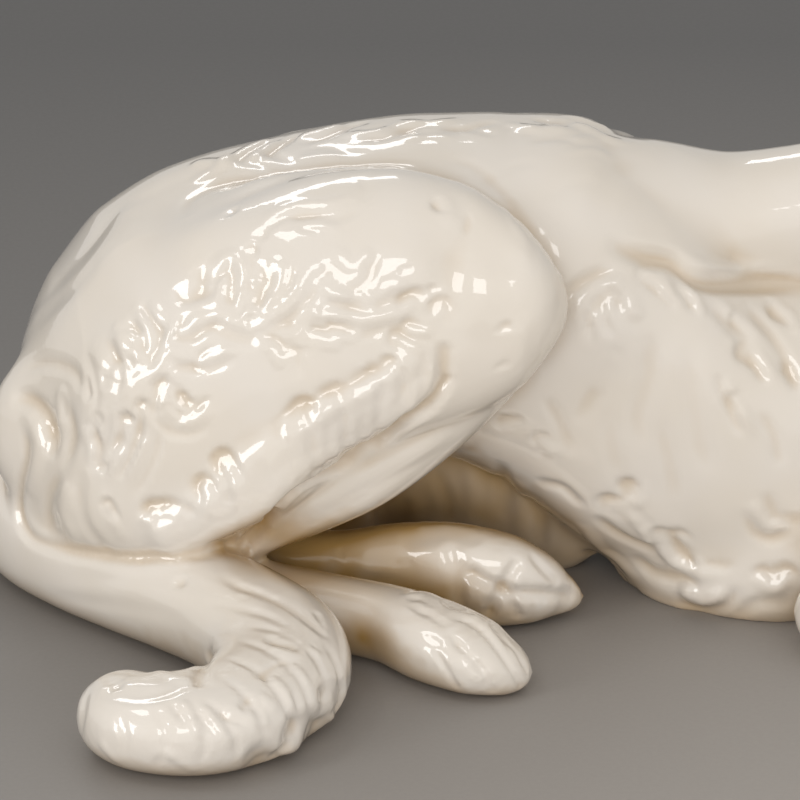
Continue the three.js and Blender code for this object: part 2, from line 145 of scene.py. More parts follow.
def rounded_body(sections, domes, fullness=2.2, facing=None, above=UP, sides=56, steps=7):
    """A closed body through the sections, domed at both ends: its corners and its four-sided faces."""
    sections = np.asarray(sections, float)
    count = (len(sections) - 1) * steps
    middles = through(sections[:, :3], count)
    halves = through(sections[:, 3:], count)
    alongs = np.tile(facing, (count + 1, 1)) if facing else np.gradient(middles, axis=0)
    alongs = alongs / np.linalg.norm(alongs, axis=1, keepdims=True)
    shrink = np.linspace(1, 0, DOME_RINGS + 2)[1:-1]
    dome = 1 - shrink**2
    stations = [(middles[0] - alongs[0] * domes[0] * s, alongs[0], halves[0] * c)
                for s, c in zip(dome[::-1], shrink[::-1])]
    stations += list(zip(middles, alongs, halves))
    stations += [(middles[-1] + alongs[-1] * domes[1] * s, alongs[-1], halves[-1] * c) for s, c in zip(dome, shrink)]
    turn = np.linspace(0, 2 * math.pi, sides, endpoint=False)
    cosine, sine = np.cos(turn), np.sin(turn)
    wide = (np.sign(cosine) * np.abs(cosine) ** (2 / fullness))[:, None]
    high = (np.sign(sine) * np.abs(sine) ** (2 / fullness))[:, None]
    rings = []
    for middle, along, (half_width, half_height) in stations:
        side = np.cross(along, above)
        side /= np.linalg.norm(side)
        rings.append(middle + side * half_width * wide + np.cross(side, along) * half_height * high)
    corners = np.vstack([[middles[0] - alongs[0] * domes[0]], *rings, [middles[-1] + alongs[-1] * domes[1]]])
    faces = []
    last = len(corners) - 1
    for k in range(sides):
        after = (k + 1) % sides
        faces.append((0, 1 + k, 1 + after))
        faces.append((last, last - sides + after, last - sides + k))
        for ring in range(len(rings) - 1):
            near, far = 1 + ring * sides, 1 + (ring + 1) * sides
            faces.append((near + k, far + k, far + after, near + after))
    return corners, faces


# Every casting, with the CAD node that it belongs to
CASTINGS = {
    "torso": ("torso_shell", rounded_body(TORSO, (7, 15), 2.4, FORWARD, sides=72)),
    "right_hip": ("torso_shell", rounded_body(RIGHT_HIP, (5, 6), facing=FORWARD)),
    "right_chest_fur": ("torso_shell", rounded_body(across_spine(LEFT_CHEST_FUR), (6, 8))),
    "left_chest_fur": ("torso_shell", rounded_body(LEFT_CHEST_FUR, (6, 8))),
    "neck": ("neck_shell", rounded_body(NECK_AND_HEAD, (6, 5))),
    "throat": ("neck_shell", rounded_body(THROAT, (8, 6))),
    "right_thigh": ("right_thigh_shell",
                    rounded_body(RIGHT_THIGH, (9, 4), facing=FORWARD, above=LEANING_BACK, sides=72)),
    "right_fringe": ("right_thigh_shell", rounded_body(RIGHT_FRINGE, (8, 8))),
    "right_shank": ("right_shank", rounded_body(RIGHT_SHANK, (7, 6))),
    "right_foot": ("right_hind_foot", rounded_body(RIGHT_FOOT, (5, 4.5))),
    "left_thigh": ("left_thigh_shell", rounded_body(LEFT_THIGH, (8, 7), facing=FORWARD, sides=72)),
    "belly_fringe": ("left_thigh_shell", rounded_body(BELLY_FRINGE, (8, 5))),
    "left_shank": ("left_shank", rounded_body(LEFT_SHANK, (6, 6))),
    "left_foot": ("left_hind_foot", rounded_body(LEFT_FOOT, (5, 6))),
    "tail": ("tail_root", rounded_body(TAIL, (6, 7))),
    "right_upper_arm": ("right_upper_arm", rounded_body(RIGHT_UPPER_ARM, (7, 6), above=FORWARD)),
    "right_foreleg": ("right_foreleg", rounded_body(RIGHT_FORELEG, (6, 5))),
    "left_upper_arm": ("left_upper_arm",
                       rounded_body(across_spine(RIGHT_UPPER_ARM, LEFT_ARM_TUCK), (7, 6), above=FORWARD)),
    "left_foreleg": ("left_foreleg", rounded_body(LEFT_FORELEG, (6, 5))),
    "right_ear": ("right_ear", rounded_body(RIGHT_EAR, (2, 2))),
    "left_ear": ("left_ear", rounded_body(across_spine(RIGHT_EAR, plane=HEAD_PLANE_Y), (2, 2))),
}


def new_object(name, data):
    """An object of the scene, at its origin."""
    thing = bpy.data.objects.new(name, data)
    bpy.context.scene.collection.objects.link(thing)
    return thing


def mesh_object(name, corners, faces):
    """A mesh object at the origin, from its corners and faces."""
    mesh = bpy.data.meshes.new(name)
    mesh.from_pydata([tuple(corner) for corner in corners], [], faces)
    return new_object(name, mesh)


def select(*things):
    """Makes these objects the selected ones, and the first of them the active one."""
    bpy.ops.object.select_all(action="DESELECT")
    for thing in things:
        thing.select_set(True)
    bpy.context.view_layer.objects.active = things[0]


def apply(thing, kind, **settings):
    """Adds a modifier and applies it at once."""
    select(thing)
    modifier = thing.modifiers.new(kind.title(), kind)
    for setting, value in settings.items():
        setattr(modifier, setting, value)
    bpy.ops.object.modifier_apply(modifier=modifier.name)


def faces_tree(thing):
    """The faces of a mesh object, ready for rays and nearest points."""
    return BVHTree.FromObject(thing, bpy.context.evaluated_depsgraph_get())


def in_picture(places):
    """Where places in millimetres stand in the picture."""
    across = WITHERS_PIXEL[0] + places[:, 0] * PIXELS_PER_MM
    down = WITHERS_PIXEL[1] - (places[:, 1] * SIN_E + places[:, 2] * COS_E) * PIXELS_PER_MM
    return across, down


def refine(thing):
    """Halves the grain where the modelling is finest, and makes every face a triangle."""
    bm = bmesh.new()
    bm.from_mesh(thing.data)
    places = np.array([corner.co for corner in bm.verts])
    across, down = in_picture(places)
    fine = np.zeros(len(places), bool)
    for left, top, right, bottom, nearest, farthest in FINEST:
        fine |= ((across > left) & (across < right) & (down > top) & (down < bottom)
                 & (places[:, 1] > nearest) & (places[:, 1] < farthest))
    edges = [edge for edge in bm.edges if fine[edge.verts[0].index] and fine[edge.verts[1].index]]
    bmesh.ops.subdivide_edges(bm, edges=edges, cuts=1, use_grid_fill=True)
    bmesh.ops.triangulate(bm, faces=bm.faces[:])
    bm.to_mesh(thing.data)
    bm.free()


def run_together():
    """All the castings as one skin, and for each of its corners the number of the casting that it came from."""
    parts = [mesh_object(name, *body) for name, (_, body) in CASTINGS.items()]
    casting_of_face = np.repeat(range(len(parts)), [len(part.data.polygons) for part in parts])
    select(*parts)
    bpy.ops.object.join()
    clay = parts[0]
    clay.name = "clay"
    tree = faces_tree(clay)
    apply(clay, "REMESH", mode="VOXEL", voxel_size=CLAY_GRAIN, adaptivity=0)
    refine(clay)
    return clay, casting_of_face[[tree.find_nearest(corner.co)[2] for corner in clay.data.vertices]]


def sum_beside(edges, values):
    """For each corner, the sum of the values at the corners that it shares an edge with."""
    a, b = edges
    return np.bincount(a, values[b], len(values)) + np.bincount(b, values[a], len(values))


HALVED = 0.8  # around a refined corner the edges are shorter than this share of the grain
PULL = 0.6  # how far one round of softening draws a corner to the middle of its neighbours
ROUNDS_PER_GRAIN = 3  # rounds of softening that reach as far as one grain
LINE_STEP = 0.8  # mm between the points of a line that is laid on the surface
TAPER = 0.3  # the share of a stroke over which each of its ends tapers
FLAT_RIM = 0.55  # the share of a flat's radius over which it runs out
FLUSH = 0.4  # how deep a flat is pressed for each millimetre of its radius and its slope
MOST_SLOPE = 0.26  # the steepest slope that a flat is pressed to
MOST_ALONG = 0.3  # mm that a flat falls or rises along its line
FACING_VIEW = 0.35  # how squarely the surface faces the view where a swell is set
LEAST_MIRROR = 0.5  # how squarely the surface faces a lamp's mirroring way, at the least
LEFT_TO_LOCKS = 0.14  # the slope that the broad form leaves to the locks themselves
MOST_LEAN = 0.32  # the steepest slope that the broad form takes over from them
LEAN_RESTRAINT = 0.05  # how strongly each swell is held down
KEPT_LEVEL = 0.2  # how strongly the broad form is held as it was, against a flat's 1
PLACES_ALONG_FLAT = 5  # where the slope that a flat lacks is taken


class Skin:
    """The figure's surface as arrays, with what is needed to lay strokes on it."""

    def __init__(self, thing):
        mesh = thing.data
        self.thing = thing
        self.places = np.empty(len(mesh.vertices) * 3, np.float32)
        mesh.vertices.foreach_get("co", self.places)
        self.places = self.places.reshape(-1, 3).astype(float)
        edges = np.empty(len(mesh.edges) * 2, np.int32)
        mesh.edges.foreach_get("vertices", edges)
        self.edges = edges.reshape(-1, 2)
        a, b = self.edges.T
        count = len(self.places)
        length = np.linalg.norm(self.places[a] - self.places[b], axis=1)
        total = np.bincount(a, length, count) + np.bincount(b, length, count)
        self.degree = sum_beside(self.edges.T, np.ones(count))
        self.fine = total / self.degree < HALVED * CLAY_GRAIN
        self.read_normals()

    def read_normals(self):
        """Writes the corners' places back to the mesh and takes its normals."""
        self.thing.data.vertices.foreach_set("co", self.places.astype(np.float32).ravel())
        self.thing.data.update()
        normals = np.empty(len(self.places) * 3, np.float32)
        self.thing.data.vertex_normals.foreach_get("vector", normals)
        self.normals = normals.reshape(-1, 3).astype(float)

    def soften(self, reach, where=None):
        """Runs the surface smooth over a reach in millimetres, all over or where a mask says."""
        where = np.ones(len(self.places)) if where is None else where
        rounds = max(1, round((reach / CLAY_GRAIN) ** 2 * ROUNDS_PER_GRAIN))
        self.relax(where, rounds)
        self.relax(where * self.fine, 3 * rounds)  # where edges are half as long it takes four times as many

    def relax(self, where, rounds):
        """Draws each corner towards the middle of its neighbours, a number of times."""
        touched = (where[self.edges] > 0).any(1)
        corners, ends = np.unique(self.edges[touched], return_inverse=True)
        ends = ends.reshape(-1, 2).T
        degree = sum_beside(ends, np.ones(len(corners)))
        share = PULL * where[corners]
        local = self.places[corners].T.copy()
        for _ in range(rounds):
            for values in local:
                values += share * (sum_beside(ends, values) / degree - values)
        self.places[corners] = local.T

    def map_surface(self):
        """Takes the surface as it stands as the ground that strokes are laid on."""
        self.read_normals()
        self.ground = self.places.copy()
        self.tree = faces_tree(self.thing)
        self.rise, self.pressed, self.pressure = np.zeros((3, len(self.places)))

    def cast(self, view, drawn, least_facing=-math.inf):
        """Drawn points laid on the surface where it faces the view well enough, and its normals there."""
        points, normals = [], []
        for origin in view.origins(np.asarray(drawn, float)):
            hit, normal, _, _ = self.tree.ray_cast(Vector(origin), Vector(view.direction))
            if hit is not None and -normal.dot(Vector(view.direction)) > least_facing:
                points.append(hit)
                normals.append(normal)
        return np.array(points), np.array(normals)

    def laid(self, view, drawn):
        """A drawn line, laid on the surface: its points there and the surface's normals."""
        length = np.linalg.norm(np.diff(drawn, axis=0), axis=1).sum() * view.mm_per_unit
        return self.cast(view, through(drawn, max(2, int(length / LINE_STEP))))

    def near_path(self, path, radius):
        """The corners within a radius of a path, with their distance and their share of the way along it."""
        low, high = path.min(0) - radius, path.max(0) + radius
        near = np.nonzero(((self.ground > low) & (self.ground < high)).all(1))[0]
        start, step = path[:-1], np.diff(path, axis=0)
        square = np.maximum((step**2).sum(1), 1e-9)
        best = np.full(len(near), np.inf)
        share = np.zeros(len(near))
        here = self.ground[near]
        for k in range(len(step)):
            away = here - start[k]
            t = np.clip(away @ step[k] / square[k], 0, 1)
            distance = np.linalg.norm(away - t[:, None] * step[k], axis=1)
            closer = distance < best
            best[closer] = distance[closer]
            share[closer] = (k + t[closer]) / len(step)
        inside = best < radius
        return near[inside], best[inside], share[inside]

    def blend(self, view, radius, reach, drawn):
        """Runs a join smooth along a drawn line."""
        path, _ = self.laid(view, drawn)
        near, distance, _ = self.near_path(path, radius)
        where = np.zeros(len(self.places))
        where[near] = (1 - (distance / radius) ** 2) ** 1.5
        self.soften(reach, where)

    def stroke(self, view, radius, rise, drawn, ends=(0, 0)):
        """Raises or cuts the surface along a drawn line. ends says how full the stroke is at its two ends."""
        path, normals = self.laid(view, drawn)
        if len(path) < 2:  # this line runs past the figure
            return
        near, distance, share = self.near_path(path, radius)
        facing = self.normals[near] @ normals.mean(0) > 0
        near, distance, share = near[facing], distance[facing], share[facing]
        length = np.linalg.norm(np.diff(path, axis=0), axis=1).sum()
        dab = np.clip(1.5 - length / (4 * radius), 0, 1)  # a stroke no longer than it is wide is a dab, with round ends
        first, last = np.maximum(ends, dab)
        taper = np.minimum(share / TAPER, 1) * (1 - first) + first
        taper = taper * (np.minimum((1 - share) / TAPER, 1) * (1 - last) + last)
        profile = (1 - (distance / radius) ** 2) ** 2 * np.sin(taper * math.pi / 2)
        self.rise[near] += rise * profile

    def flat(self, view, radius, drawn):
        """Presses a lock's flat along a drawn line, turned to where it mirrors a lamp."""
        path, _ = self.laid(view, drawn)
        near, distance, share = self.near_path(path, radius)
        slope = slope_to_shine(self.normals[near])
        steep = np.linalg.norm(slope, axis=1)
        slope *= (np.minimum(steep, MOST_SLOPE) / np.maximum(steep, 1e-6))[:, None]
        foot = path[(share * (len(path) - 1)).round().astype(int)]
        across = (slope * (self.ground[near] - foot)).sum(1)
        along = (slope * (foot - path.mean(0))).sum(1)
        window = np.clip((1 - distance / radius) / FLAT_RIM, 0, 1)
        window = window**2 * (3 - 2 * window)
        flush = FLUSH * radius * np.minimum(steep, MOST_SLOPE).mean()  # the flat's upper side runs out level
        self.pressed[near] += window * np.minimum(across + MOST_ALONG * np.tanh(along / MOST_ALONG) - flush, 0)
        self.pressure[near] += window

    def lean(self, view, flats, grid, reach):
        """Swells the broad form around the grid's points so that all the flats lie nearly as they shine."""
        middles, facing = self.cast(view, grid, FACING_VIEW)
        rows, sought = [], []

        def tilt(point, normal, slope, weight):
            """Asks the swells together to turn the surface at a point by a slope."""
            away = point - middles
            r = np.linalg.norm(away, axis=1) / reach
            pull = np.where(r < 1, -6 * (1 - r**2) ** 2, 0) / reach**2  # how a swell of (1 - r**2)**3 falls away
            toward = pull[:, None] * away
            for axis in (np.cross(normal, UP), np.cross(normal, np.cross(normal, UP))):
                axis = axis / max(np.linalg.norm(axis), 1e-6)
                rows.append(weight * (toward @ axis))
                sought.append(weight * (slope @ axis))

        for drawn in flats:
            points, normals = self.laid(view, drawn)
            some = np.unique(np.linspace(0, len(points) - 1, PLACES_ALONG_FLAT).astype(int))
            points, normals = points[some], normals[some]
            slopes = slope_to_shine(normals)
            steep = np.linalg.norm(slopes, axis=1, keepdims=True)
            slopes = slopes * np.clip(steep - LEFT_TO_LOCKS, 0, MOST_LEAN) / np.maximum(steep, 1e-6)
            for point, normal, slope in zip(points, normals, slopes):
                tilt(point, normal, slope, 1.0)
        for point, normal in zip(middles, facing):
            tilt(point, normal, np.zeros(3), KEPT_LEVEL)
        count = len(middles)
        rows = np.vstack([np.array(rows), LEAN_RESTRAINT * np.eye(count)])
        sought = np.concatenate([sought, np.zeros(count)])
        amounts = np.linalg.lstsq(rows, sought, rcond=None)[0]
        for middle, way, amount in zip(middles, facing, amounts):
            near = np.nonzero((np.abs(self.ground - middle) < reach).all(1))[0]
            near = near[self.normals[near] @ way > 0]
            r = np.linalg.norm(self.ground[near] - middle, axis=1) / reach
            self.rise[near] += amount * np.clip(1 - r**2, 0, 1) ** 3

    def model(self):
        """Lets all the strokes and flats laid so far take effect."""
        self.rise += self.pressed / np.maximum(self.pressure, 1)
        self.places = self.ground + self.normals * self.rise[:, None]

    def settle(self):
        """Presses flat what is below the table."""
        self.places[:, 2] = np.maximum(self.places[:, 2], 0.0)


OUTSIDE = 500  # mm from the figure's middle to where a view's rays start


class View:
    """A way to look at the figure, from which lines are drawn on it."""

    def __init__(self, direction, across, up, middle=(0, 0, 0), unit=1.0, flip=1.0, mirror=False):
        turn = np.array([1, -1 if mirror else 1, 1], float)
        self.direction = np.array(direction, float) * turn
        self.across, self.up = np.array(across, float) * turn, np.array(up, float) * turn
        self.middle = np.array(middle, float) * turn
        self.mm_per_unit, self.flip = unit, flip

    def origins(self, drawn):
        """Where the rays through the drawn points start."""
        x = drawn[:, 0, None] * self.mm_per_unit
        y = drawn[:, 1, None] * self.mm_per_unit * self.flip
        return self.middle + x * self.across + y * self.up - self.direction * OUTSIDE


picture_corner = (np.array([-WITHERS_PIXEL[0], 0, 0]) + WITHERS_PIXEL[1] * np.array([0, SIN_E, COS_E])) / PIXELS_PER_MM
PICTURED, FAR_SIDE = (View((0, COS_E, -SIN_E), FORWARD, (0, SIN_E, COS_E), picture_corner, 1 / PIXELS_PER_MM,
                           flip=-1, mirror=mirror) for mirror in (False, True))
RIGHT_SIDE = View((0, 1, 0), FORWARD, UP)
LEFT_SIDE = View((0, -1, 0), FORWARD, UP)
FROM_ABOVE = View((0, 0, -1), FORWARD, (0, 1, 0))
FROM_FRONT = View((-1, 0, 0), (0, 1, 0), UP)


def towards(azimuth, elevation):
    """The way from the figure to what stands at this azimuth (0 is the camera's own side) and elevation."""
    a, e = math.radians(azimuth), math.radians(elevation)
    return np.array([math.sin(a) * math.cos(e), -math.cos(a) * math.cos(e), math.sin(e)])


# The azimuth and elevation of each lamp, and the ways that a surface faces to mirror one of them to the camera
KEY, HIGH_LEFT, LEFT, BEHIND = (-10, 31), (-75, 60), (-57, 17), (-165, 36)
SHINING = np.array([towards(*lamp) + towards(0, ELEVATION) for lamp in (KEY, HIGH_LEFT, LEFT, BEHIND)])
SHINING /= np.linalg.norm(SHINING, axis=1, keepdims=True)


def slope_to_shine(normals):
    """The slope that turns a patch of surface to where it mirrors the lamp that it mirrors most nearly."""
    shining = SHINING[np.argmax(SHINING @ normals.mean(0))]
    slope = normals - shining / np.maximum(normals @ shining, LEAST_MIRROR)[:, None]
    return slope - (slope * normals).sum(1, keepdims=True) * normals


# Strokes of the coat as they lie in the picture: radius, rise and a line of picture points, and where a stroke
# doesn't taper at both ends, how full it is at each
HAUNCH_RIM = [
    (3.0, -1.2, [(187, 218), (188, 203), (205, 190), (250, 177), (320, 166), (400, 161), (440, 159)]),
    (2.2, -1.2, [(440, 159), (470, 165), (500, 190), (520, 215), (545, 247), (562, 285)]),
    (2.0, 0.7, [(440, 184), (475, 187), (500, 206), (518, 232), (532, 252)]),
]
HAUNCH = [
    (3.0, 1.0, [(262, 222), (290, 209), (325, 206), (358, 198)]),
    (2.2, -0.8, [(280, 228), (310, 220), (345, 218), (366, 205)]),
    (1.8, 0.6, [(300, 224), (330, 228), (340, 236)]),
    (1.8, -0.6, [(362, 178), (366, 192), (362, 205)]),
    (2.5, -0.9, [(196, 300), (205, 278), (215, 262)]),
    (2.6, 1.1, [(206, 290), (212, 270), (235, 258), (245, 275), (242, 300)]),
    (1.7, -0.9, [(252, 255), (250, 275), (246, 300), (238, 318)]),
    (2.6, 1.2, [(268, 268), (280, 268), (278, 292), (262, 312)]),
    (1.7, -1.0, [(295, 262), (290, 285), (275, 305), (256, 322)]),
    (2.2, 1.1, [(318, 260), (305, 280), (292, 298), (285, 305)]),
    (1.7, -1.0, [(330, 262), (322, 280), (308, 300), (292, 318), (268, 330)]),
    (2.6, 1.0, [(340, 256), (352, 268), (366, 258)]),
    (2.0, -0.9, [(340, 285), (352, 290), (368, 280), (375, 262)]),
    (3.0, -1.3, [(200, 308), (215, 326), (240, 338), (262, 338), (288, 324), (312, 312)]),
    (2.2, 1.0, [(186, 330), (200, 320), (218, 318)]),
    (1.6, -0.8, [(190, 340), (208, 330), (222, 320)]),
    (2.0, 1.1, [(150, 300), (160, 315), (170, 328), (160, 345)]),
    (1.5, -1.0, [(143, 303), (152, 320), (163, 336), (150, 358)]),
    (2.0, 1.1, [(137, 308), (148, 325), (152, 345)]),
    (1.5, -1.0, [(128, 318), (140, 335), (147, 360)]),
    (2.1, 1.1, [(118, 328), (125, 345), (138, 354)]),
    (1.6, -0.9, [(104, 335), (114, 350), (122, 362), (140, 366)]),
    (2.4, 1.1, [(92, 344), (102, 360), (114, 378), (108, 400)]),
    (1.8, -0.8, [(84, 350), (94, 375), (98, 398), (92, 415)]),
    (2.2, -0.9, [(125, 376), (145, 366), (165, 352), (182, 332)]),
    (2.0, 0.9, [(158, 362), (168, 352), (192, 358)]),
    (1.8, -0.8, [(160, 372), (185, 368), (210, 370), (240, 358)]),
    (2.0, 0.9, [(198, 364), (215, 354), (236, 351)]),
    (2.4, 1.0, [(166, 384), (164, 402), (172, 414), (190, 421), (206, 414), (212, 404)]),
    (1.8, -0.9, [(180, 390), (188, 402), (200, 406)]),
    (1.8, -0.8, [(153, 388), (154, 412), (166, 428), (190, 434), (214, 424)]),
    (2.0, 0.9, [(128, 424), (128, 440), (118, 460), (108, 482)]),
    (1.6, -0.9, [(139, 415), (140, 436), (132, 458), (118, 480)]),
    (2.0, 1.0, [(147, 405), (150, 425), (142, 452), (124, 482)]),
    (1.8, -0.7, [(160, 430), (158, 450), (146, 478), (132, 496)]),
    (1.8, 0.8, [(100, 419), (86, 432), (92, 446), (88, 464)]),
    (1.8, -0.8, [(112, 412), (108, 434), (100, 456), (90, 478)]),
    (2.8, -1.3, [(84, 470), (80, 495), (84, 522), (98, 542), (114, 556)]),
    (2.4, 0.8, [(106, 500), (112, 515), (122, 534)]),
    (2.6, 0.8, [(146, 518), (158, 510), (185, 512)]),
    (2.4, 0.7, [(204, 484), (210, 498), (208, 510)]),
    (2.4, 0.8, [(222, 458), (234, 476), (240, 500)]),
    (3.0, -0.7, [(192, 470), (196, 495), (190, 520), (178, 545)]),
    (3.0, -0.7, [(222, 480), (226, 505), (222, 530), (212, 550)]),
    (3.0, -0.6, [(255, 455), (258, 480), (250, 510), (238, 530)]),
    (3.5, -1.0, [(190, 548), (215, 545), (240, 552)]),
    (2.6, 1.0, [(300, 318), (330, 312), (368, 319), (402, 312), (418, 298)]),
    (2.2, -1.0, [(318, 300), (345, 306), (372, 308), (398, 298), (412, 282)]),
    (2.2, -0.9, [(296, 332), (330, 326), (365, 334), (400, 326), (424, 312)]),
    (1.8, 0.8, [(322, 286), (330, 294), (346, 298)]),
    (1.8, 0.7, [(360, 296), (366, 304), (372, 308)]),
    (1.8, 0.8, [(385, 290), (390, 284), (398, 288)]),
    (2.0, 0.9, [(390, 336), (404, 342), (420, 350)]),
    (1.6, -0.7, [(396, 330), (412, 338), (428, 342)]),
    (2.0, 0.8, [(404, 326), (414, 332), (426, 334)]),
    (2.0, 0.8, [(314, 332), (326, 342), (336, 346), (316, 344)]),
    (1.8, 0.7, [(334, 330), (342, 338), (352, 338), (362, 330)]),
    (2.2, 0.9, [(262, 342), (270, 346), (280, 362)]),
    (1.8, -0.8, [(284, 340), (296, 352), (300, 372)]),
    (3.0, 0.6, [(430, 316), (440, 306)]),
    (2.5, 0.5, [(434, 292), (442, 292)]),
    (4.0, -0.6, [(458, 206), (470, 225), (462, 240)]),
    (3.0, 0.5, [(444, 206), (450, 220)]),
]
FRINGE = [
    (4.0, 1.0, [(284, 438), (318, 414), (352, 395), (392, 374), (425, 354)]),
    (2.6, -0.5, [(286, 478), (280, 450), (280, 428)], (1, 0)),
    (2.4, -0.7, [(318, 468), (313, 440), (310, 412), (314, 398)], (1, 0)),
    (2.2, -0.5, [(330, 462), (329, 444), (331, 424)], (1, 0)),
    (2.4, -0.7, [(346, 458), (346, 430), (343, 402), (348, 388)], (1, 0)),
    (2.0, -0.45, [(360, 450), (362, 430), (364, 412)], (1, 0)),
    (2.4, -0.7, [(378, 446), (380, 420), (382, 392), (382, 380)], (1, 0)),
    (2.0, -0.45, [(392, 434), (394, 416), (396, 400)], (1, 0)),
    (2.0, -0.6, [(404, 424), (404, 402), (402, 376), (402, 366)], (1, 0)),
    (2.0, -0.6, [(422, 406), (424, 386), (422, 366)], (1, 0)),
    (3.4, 0.8, [(262, 502), (296, 474), (340, 450), (384, 426), (412, 404), (430, 378)], (0.2, 0.2)),
]
BREECH = [
    (3.0, -1.6, [(8, 398), (28, 399), (44, 412), (53, 436), (50, 462)]),
    (3.6, 1.2, [(30, 420), (38, 440), (36, 462), (30, 486)]),
    (2.2, -1.4, [(24, 428), (26, 458), (19, 480), (16, 500), (19, 522), (30, 539), (55, 548), (90, 553), (120, 557),
                 (180, 557), (232, 555)]),
    (3.0, -1.0, [(62, 472), (50, 490), (47, 512), (52, 530)]),
    (3.4, 0.9, [(66, 492), (64, 515), (72, 535)]),
    (2.4, -0.8, [(18, 372), (45, 362), (75, 372), (82, 396)]),
    (3.0, 0.8, [(62, 398), (62, 422)]),
    (2.6, -0.8, [(70, 410), (74, 436), (66, 462)]),
    (4.5, -0.5, [(100, 258), (76, 285), (40, 315)]),
]
BACK = [
    (2.6, 0.9, [(198, 178), (212, 170), (222, 166)]),
    (2.8, 1.1, [(222, 162), (240, 165), (262, 172)]),
    (1.8, -0.9, [(232, 158), (258, 166), (282, 168)]),
    (2.0, 0.9, [(248, 152), (262, 158), (278, 168)]),
    (2.0, -0.8, [(262, 150), (285, 158), (300, 164)]),
    (2.2, 0.9, [(302, 158), (320, 156), (336, 156)]),
    (2.0, -0.7, [(300, 148), (330, 146), (350, 152), (372, 152)]),
    (2.2, 0.8, [(345, 140), (375, 134), (398, 136)]),
    (2.0, -0.7, [(360, 130), (392, 126), (420, 132), (446, 134)]),
    (2.2, 0.8, [(402, 140), (425, 134), (456, 138)]),
    (2.0, -0.6, [(440, 126), (470, 128), (500, 136)]),
    (2.4, 0.8, [(515, 132), (540, 126), (570, 130)]),
    (2.0, -0.7, [(528, 142), (560, 138), (590, 146)]),
    (2.4, 0.8, [(570, 142), (590, 138), (625, 142)]),
    (2.0, 0.7, [(570, 152), (595, 150), (612, 158)]),
    (4.5, -0.8, [(655, 160), (630, 164), (612, 176), (602, 194), (598, 216), (602, 240)]),
    (2.0, -0.5, [(480, 190), (505, 170), (540, 160)]),
    (2.4, -0.5, [(540, 200), (570, 185), (600, 180)]),
]
FLANK = [
    (3.6, -4.0, [(604, 243), (640, 256), (672, 262), (688, 274), (705, 282), (740, 284), (799, 285)]),
    (2.6, 0.8, [(690, 262), (720, 268), (760, 268), (799, 270)]),
    (2.2, 1.0, [(642, 268), (655, 280), (682, 306)]),
    (1.8, -0.8, [(664, 268), (684, 292), (700, 318)]),
    (2.0, 0.9, [(680, 280), (690, 292), (700, 310)]),
    (2.4, -0.9, [(700, 296), (725, 322), (748, 350), (765, 385)]),
    (2.2, 0.9, [(724, 306), (742, 322), (760, 338)]),
    (2.2, -0.9, [(742, 302), (768, 330), (788, 365), (799, 400)]),
    (2.4, 1.0, [(734, 340), (758, 358), (776, 382)]),
    (2.2, 0.9, [(728, 388), (738, 404), (750, 428)]),
    (2.0, -0.8, [(716, 372), (726, 402), (742, 438)]),
    (2.2, 1.0, [(774, 300), (790, 314), (799, 330)]),
    (2.2, -0.7, [(760, 410), (775, 440), (780, 470)]),
    (2.4, 1.0, [(576, 330), (580, 300), (600, 286), (625, 282)]),
    (1.6, -0.8, [(590, 340), (588, 318), (596, 304)]),
    (1.6, -0.8, [(608, 332), (602, 316), (602, 302)]),
    (2.6, 0.9, [(616, 282), (626, 296), (634, 312)]),
    (2.8, -0.8, [(618, 345), (606, 372), (592, 398), (574, 425)]),
    (2.6, 0.6, [(612, 362), (600, 385)]),
    (3.4, -0.6, [(652, 330), (648, 370), (640, 410), (640, 450)]),
    (3.4, -0.6, [(688, 340), (692, 390), (700, 440), (712, 475)]),
    (3.0, -0.5, [(660, 420), (668, 460), (676, 500)]),
    (3.2, -0.5, [(610, 420), (612, 450), (620, 480)]),
    (3.0, 0.8, [(538, 436), (552, 450)]),
    (2.4, -0.7, [(545, 395), (560, 425), (572, 455)]),
    (2.4, -1.0, [(545, 484), (562, 488), (578, 502)]),
    (2.6, 0.9, [(604, 506), (622, 506), (640, 500), (642, 488)]),
    (2.4, 0.9, [(630, 516), (642, 528), (650, 540)]),
    (2.8, -1.4, [(596, 516), (614, 532), (640, 546), (662, 552)]),
    (3.4, 1.2, [(582, 524), (600, 546), (622, 562), (640, 584)]),
    (2.2, -1.0, [(586, 552), (606, 562), (624, 578), (638, 594)]),
    (3.2, -1.8, [(636, 556), (654, 574), (680, 580), (704, 584)]),
    (2.6, 1.2, [(660, 536), (666, 552), (680, 566), (700, 574), (726, 572)]),
    (2.2, 0.9, [(680, 538), (692, 548), (700, 562)]),
    (2.0, -0.8, [(672, 534), (680, 550), (692, 564)]),
    (3.2, 1.4, [(690, 594), (706, 600), (720, 598)]),
    (2.6, -1.3, [(676, 598), (694, 610), (716, 612), (734, 600), (738, 586)]),
    (3.4, 0.9, [(640, 592), (670, 606), (700, 616)]),
    (2.6, -1.2, [(744, 614), (758, 605), (786, 604)]),
    (2.8, 1.0, [(764, 582), (776, 588), (788, 578)]),
    (2.6, -1.1, [(748, 516), (758, 532), (774, 538), (792, 528)]),
    (2.4, -1.0, [(768, 500), (778, 518), (799, 520)]),
    (2.6, 0.9, [(756, 510), (766, 526), (784, 526)]),
]
BELLY = [
    (3.0, -1.0, [(500, 460), (505, 490), (500, 520)]),
    (3.0, 1.0, [(520, 480), (525, 510), (518, 540)]),
    (3.0, -1.0, [(538, 505), (542, 530), (538, 550)]),
    (3.0, 0.9, [(470, 470), (475, 500), (470, 522)]),
    (2.6, -0.8, [(440, 480), (448, 505), (446, 522)]),
    (2.6, 0.8, [(412, 492), (416, 510), (412, 524)]),
]
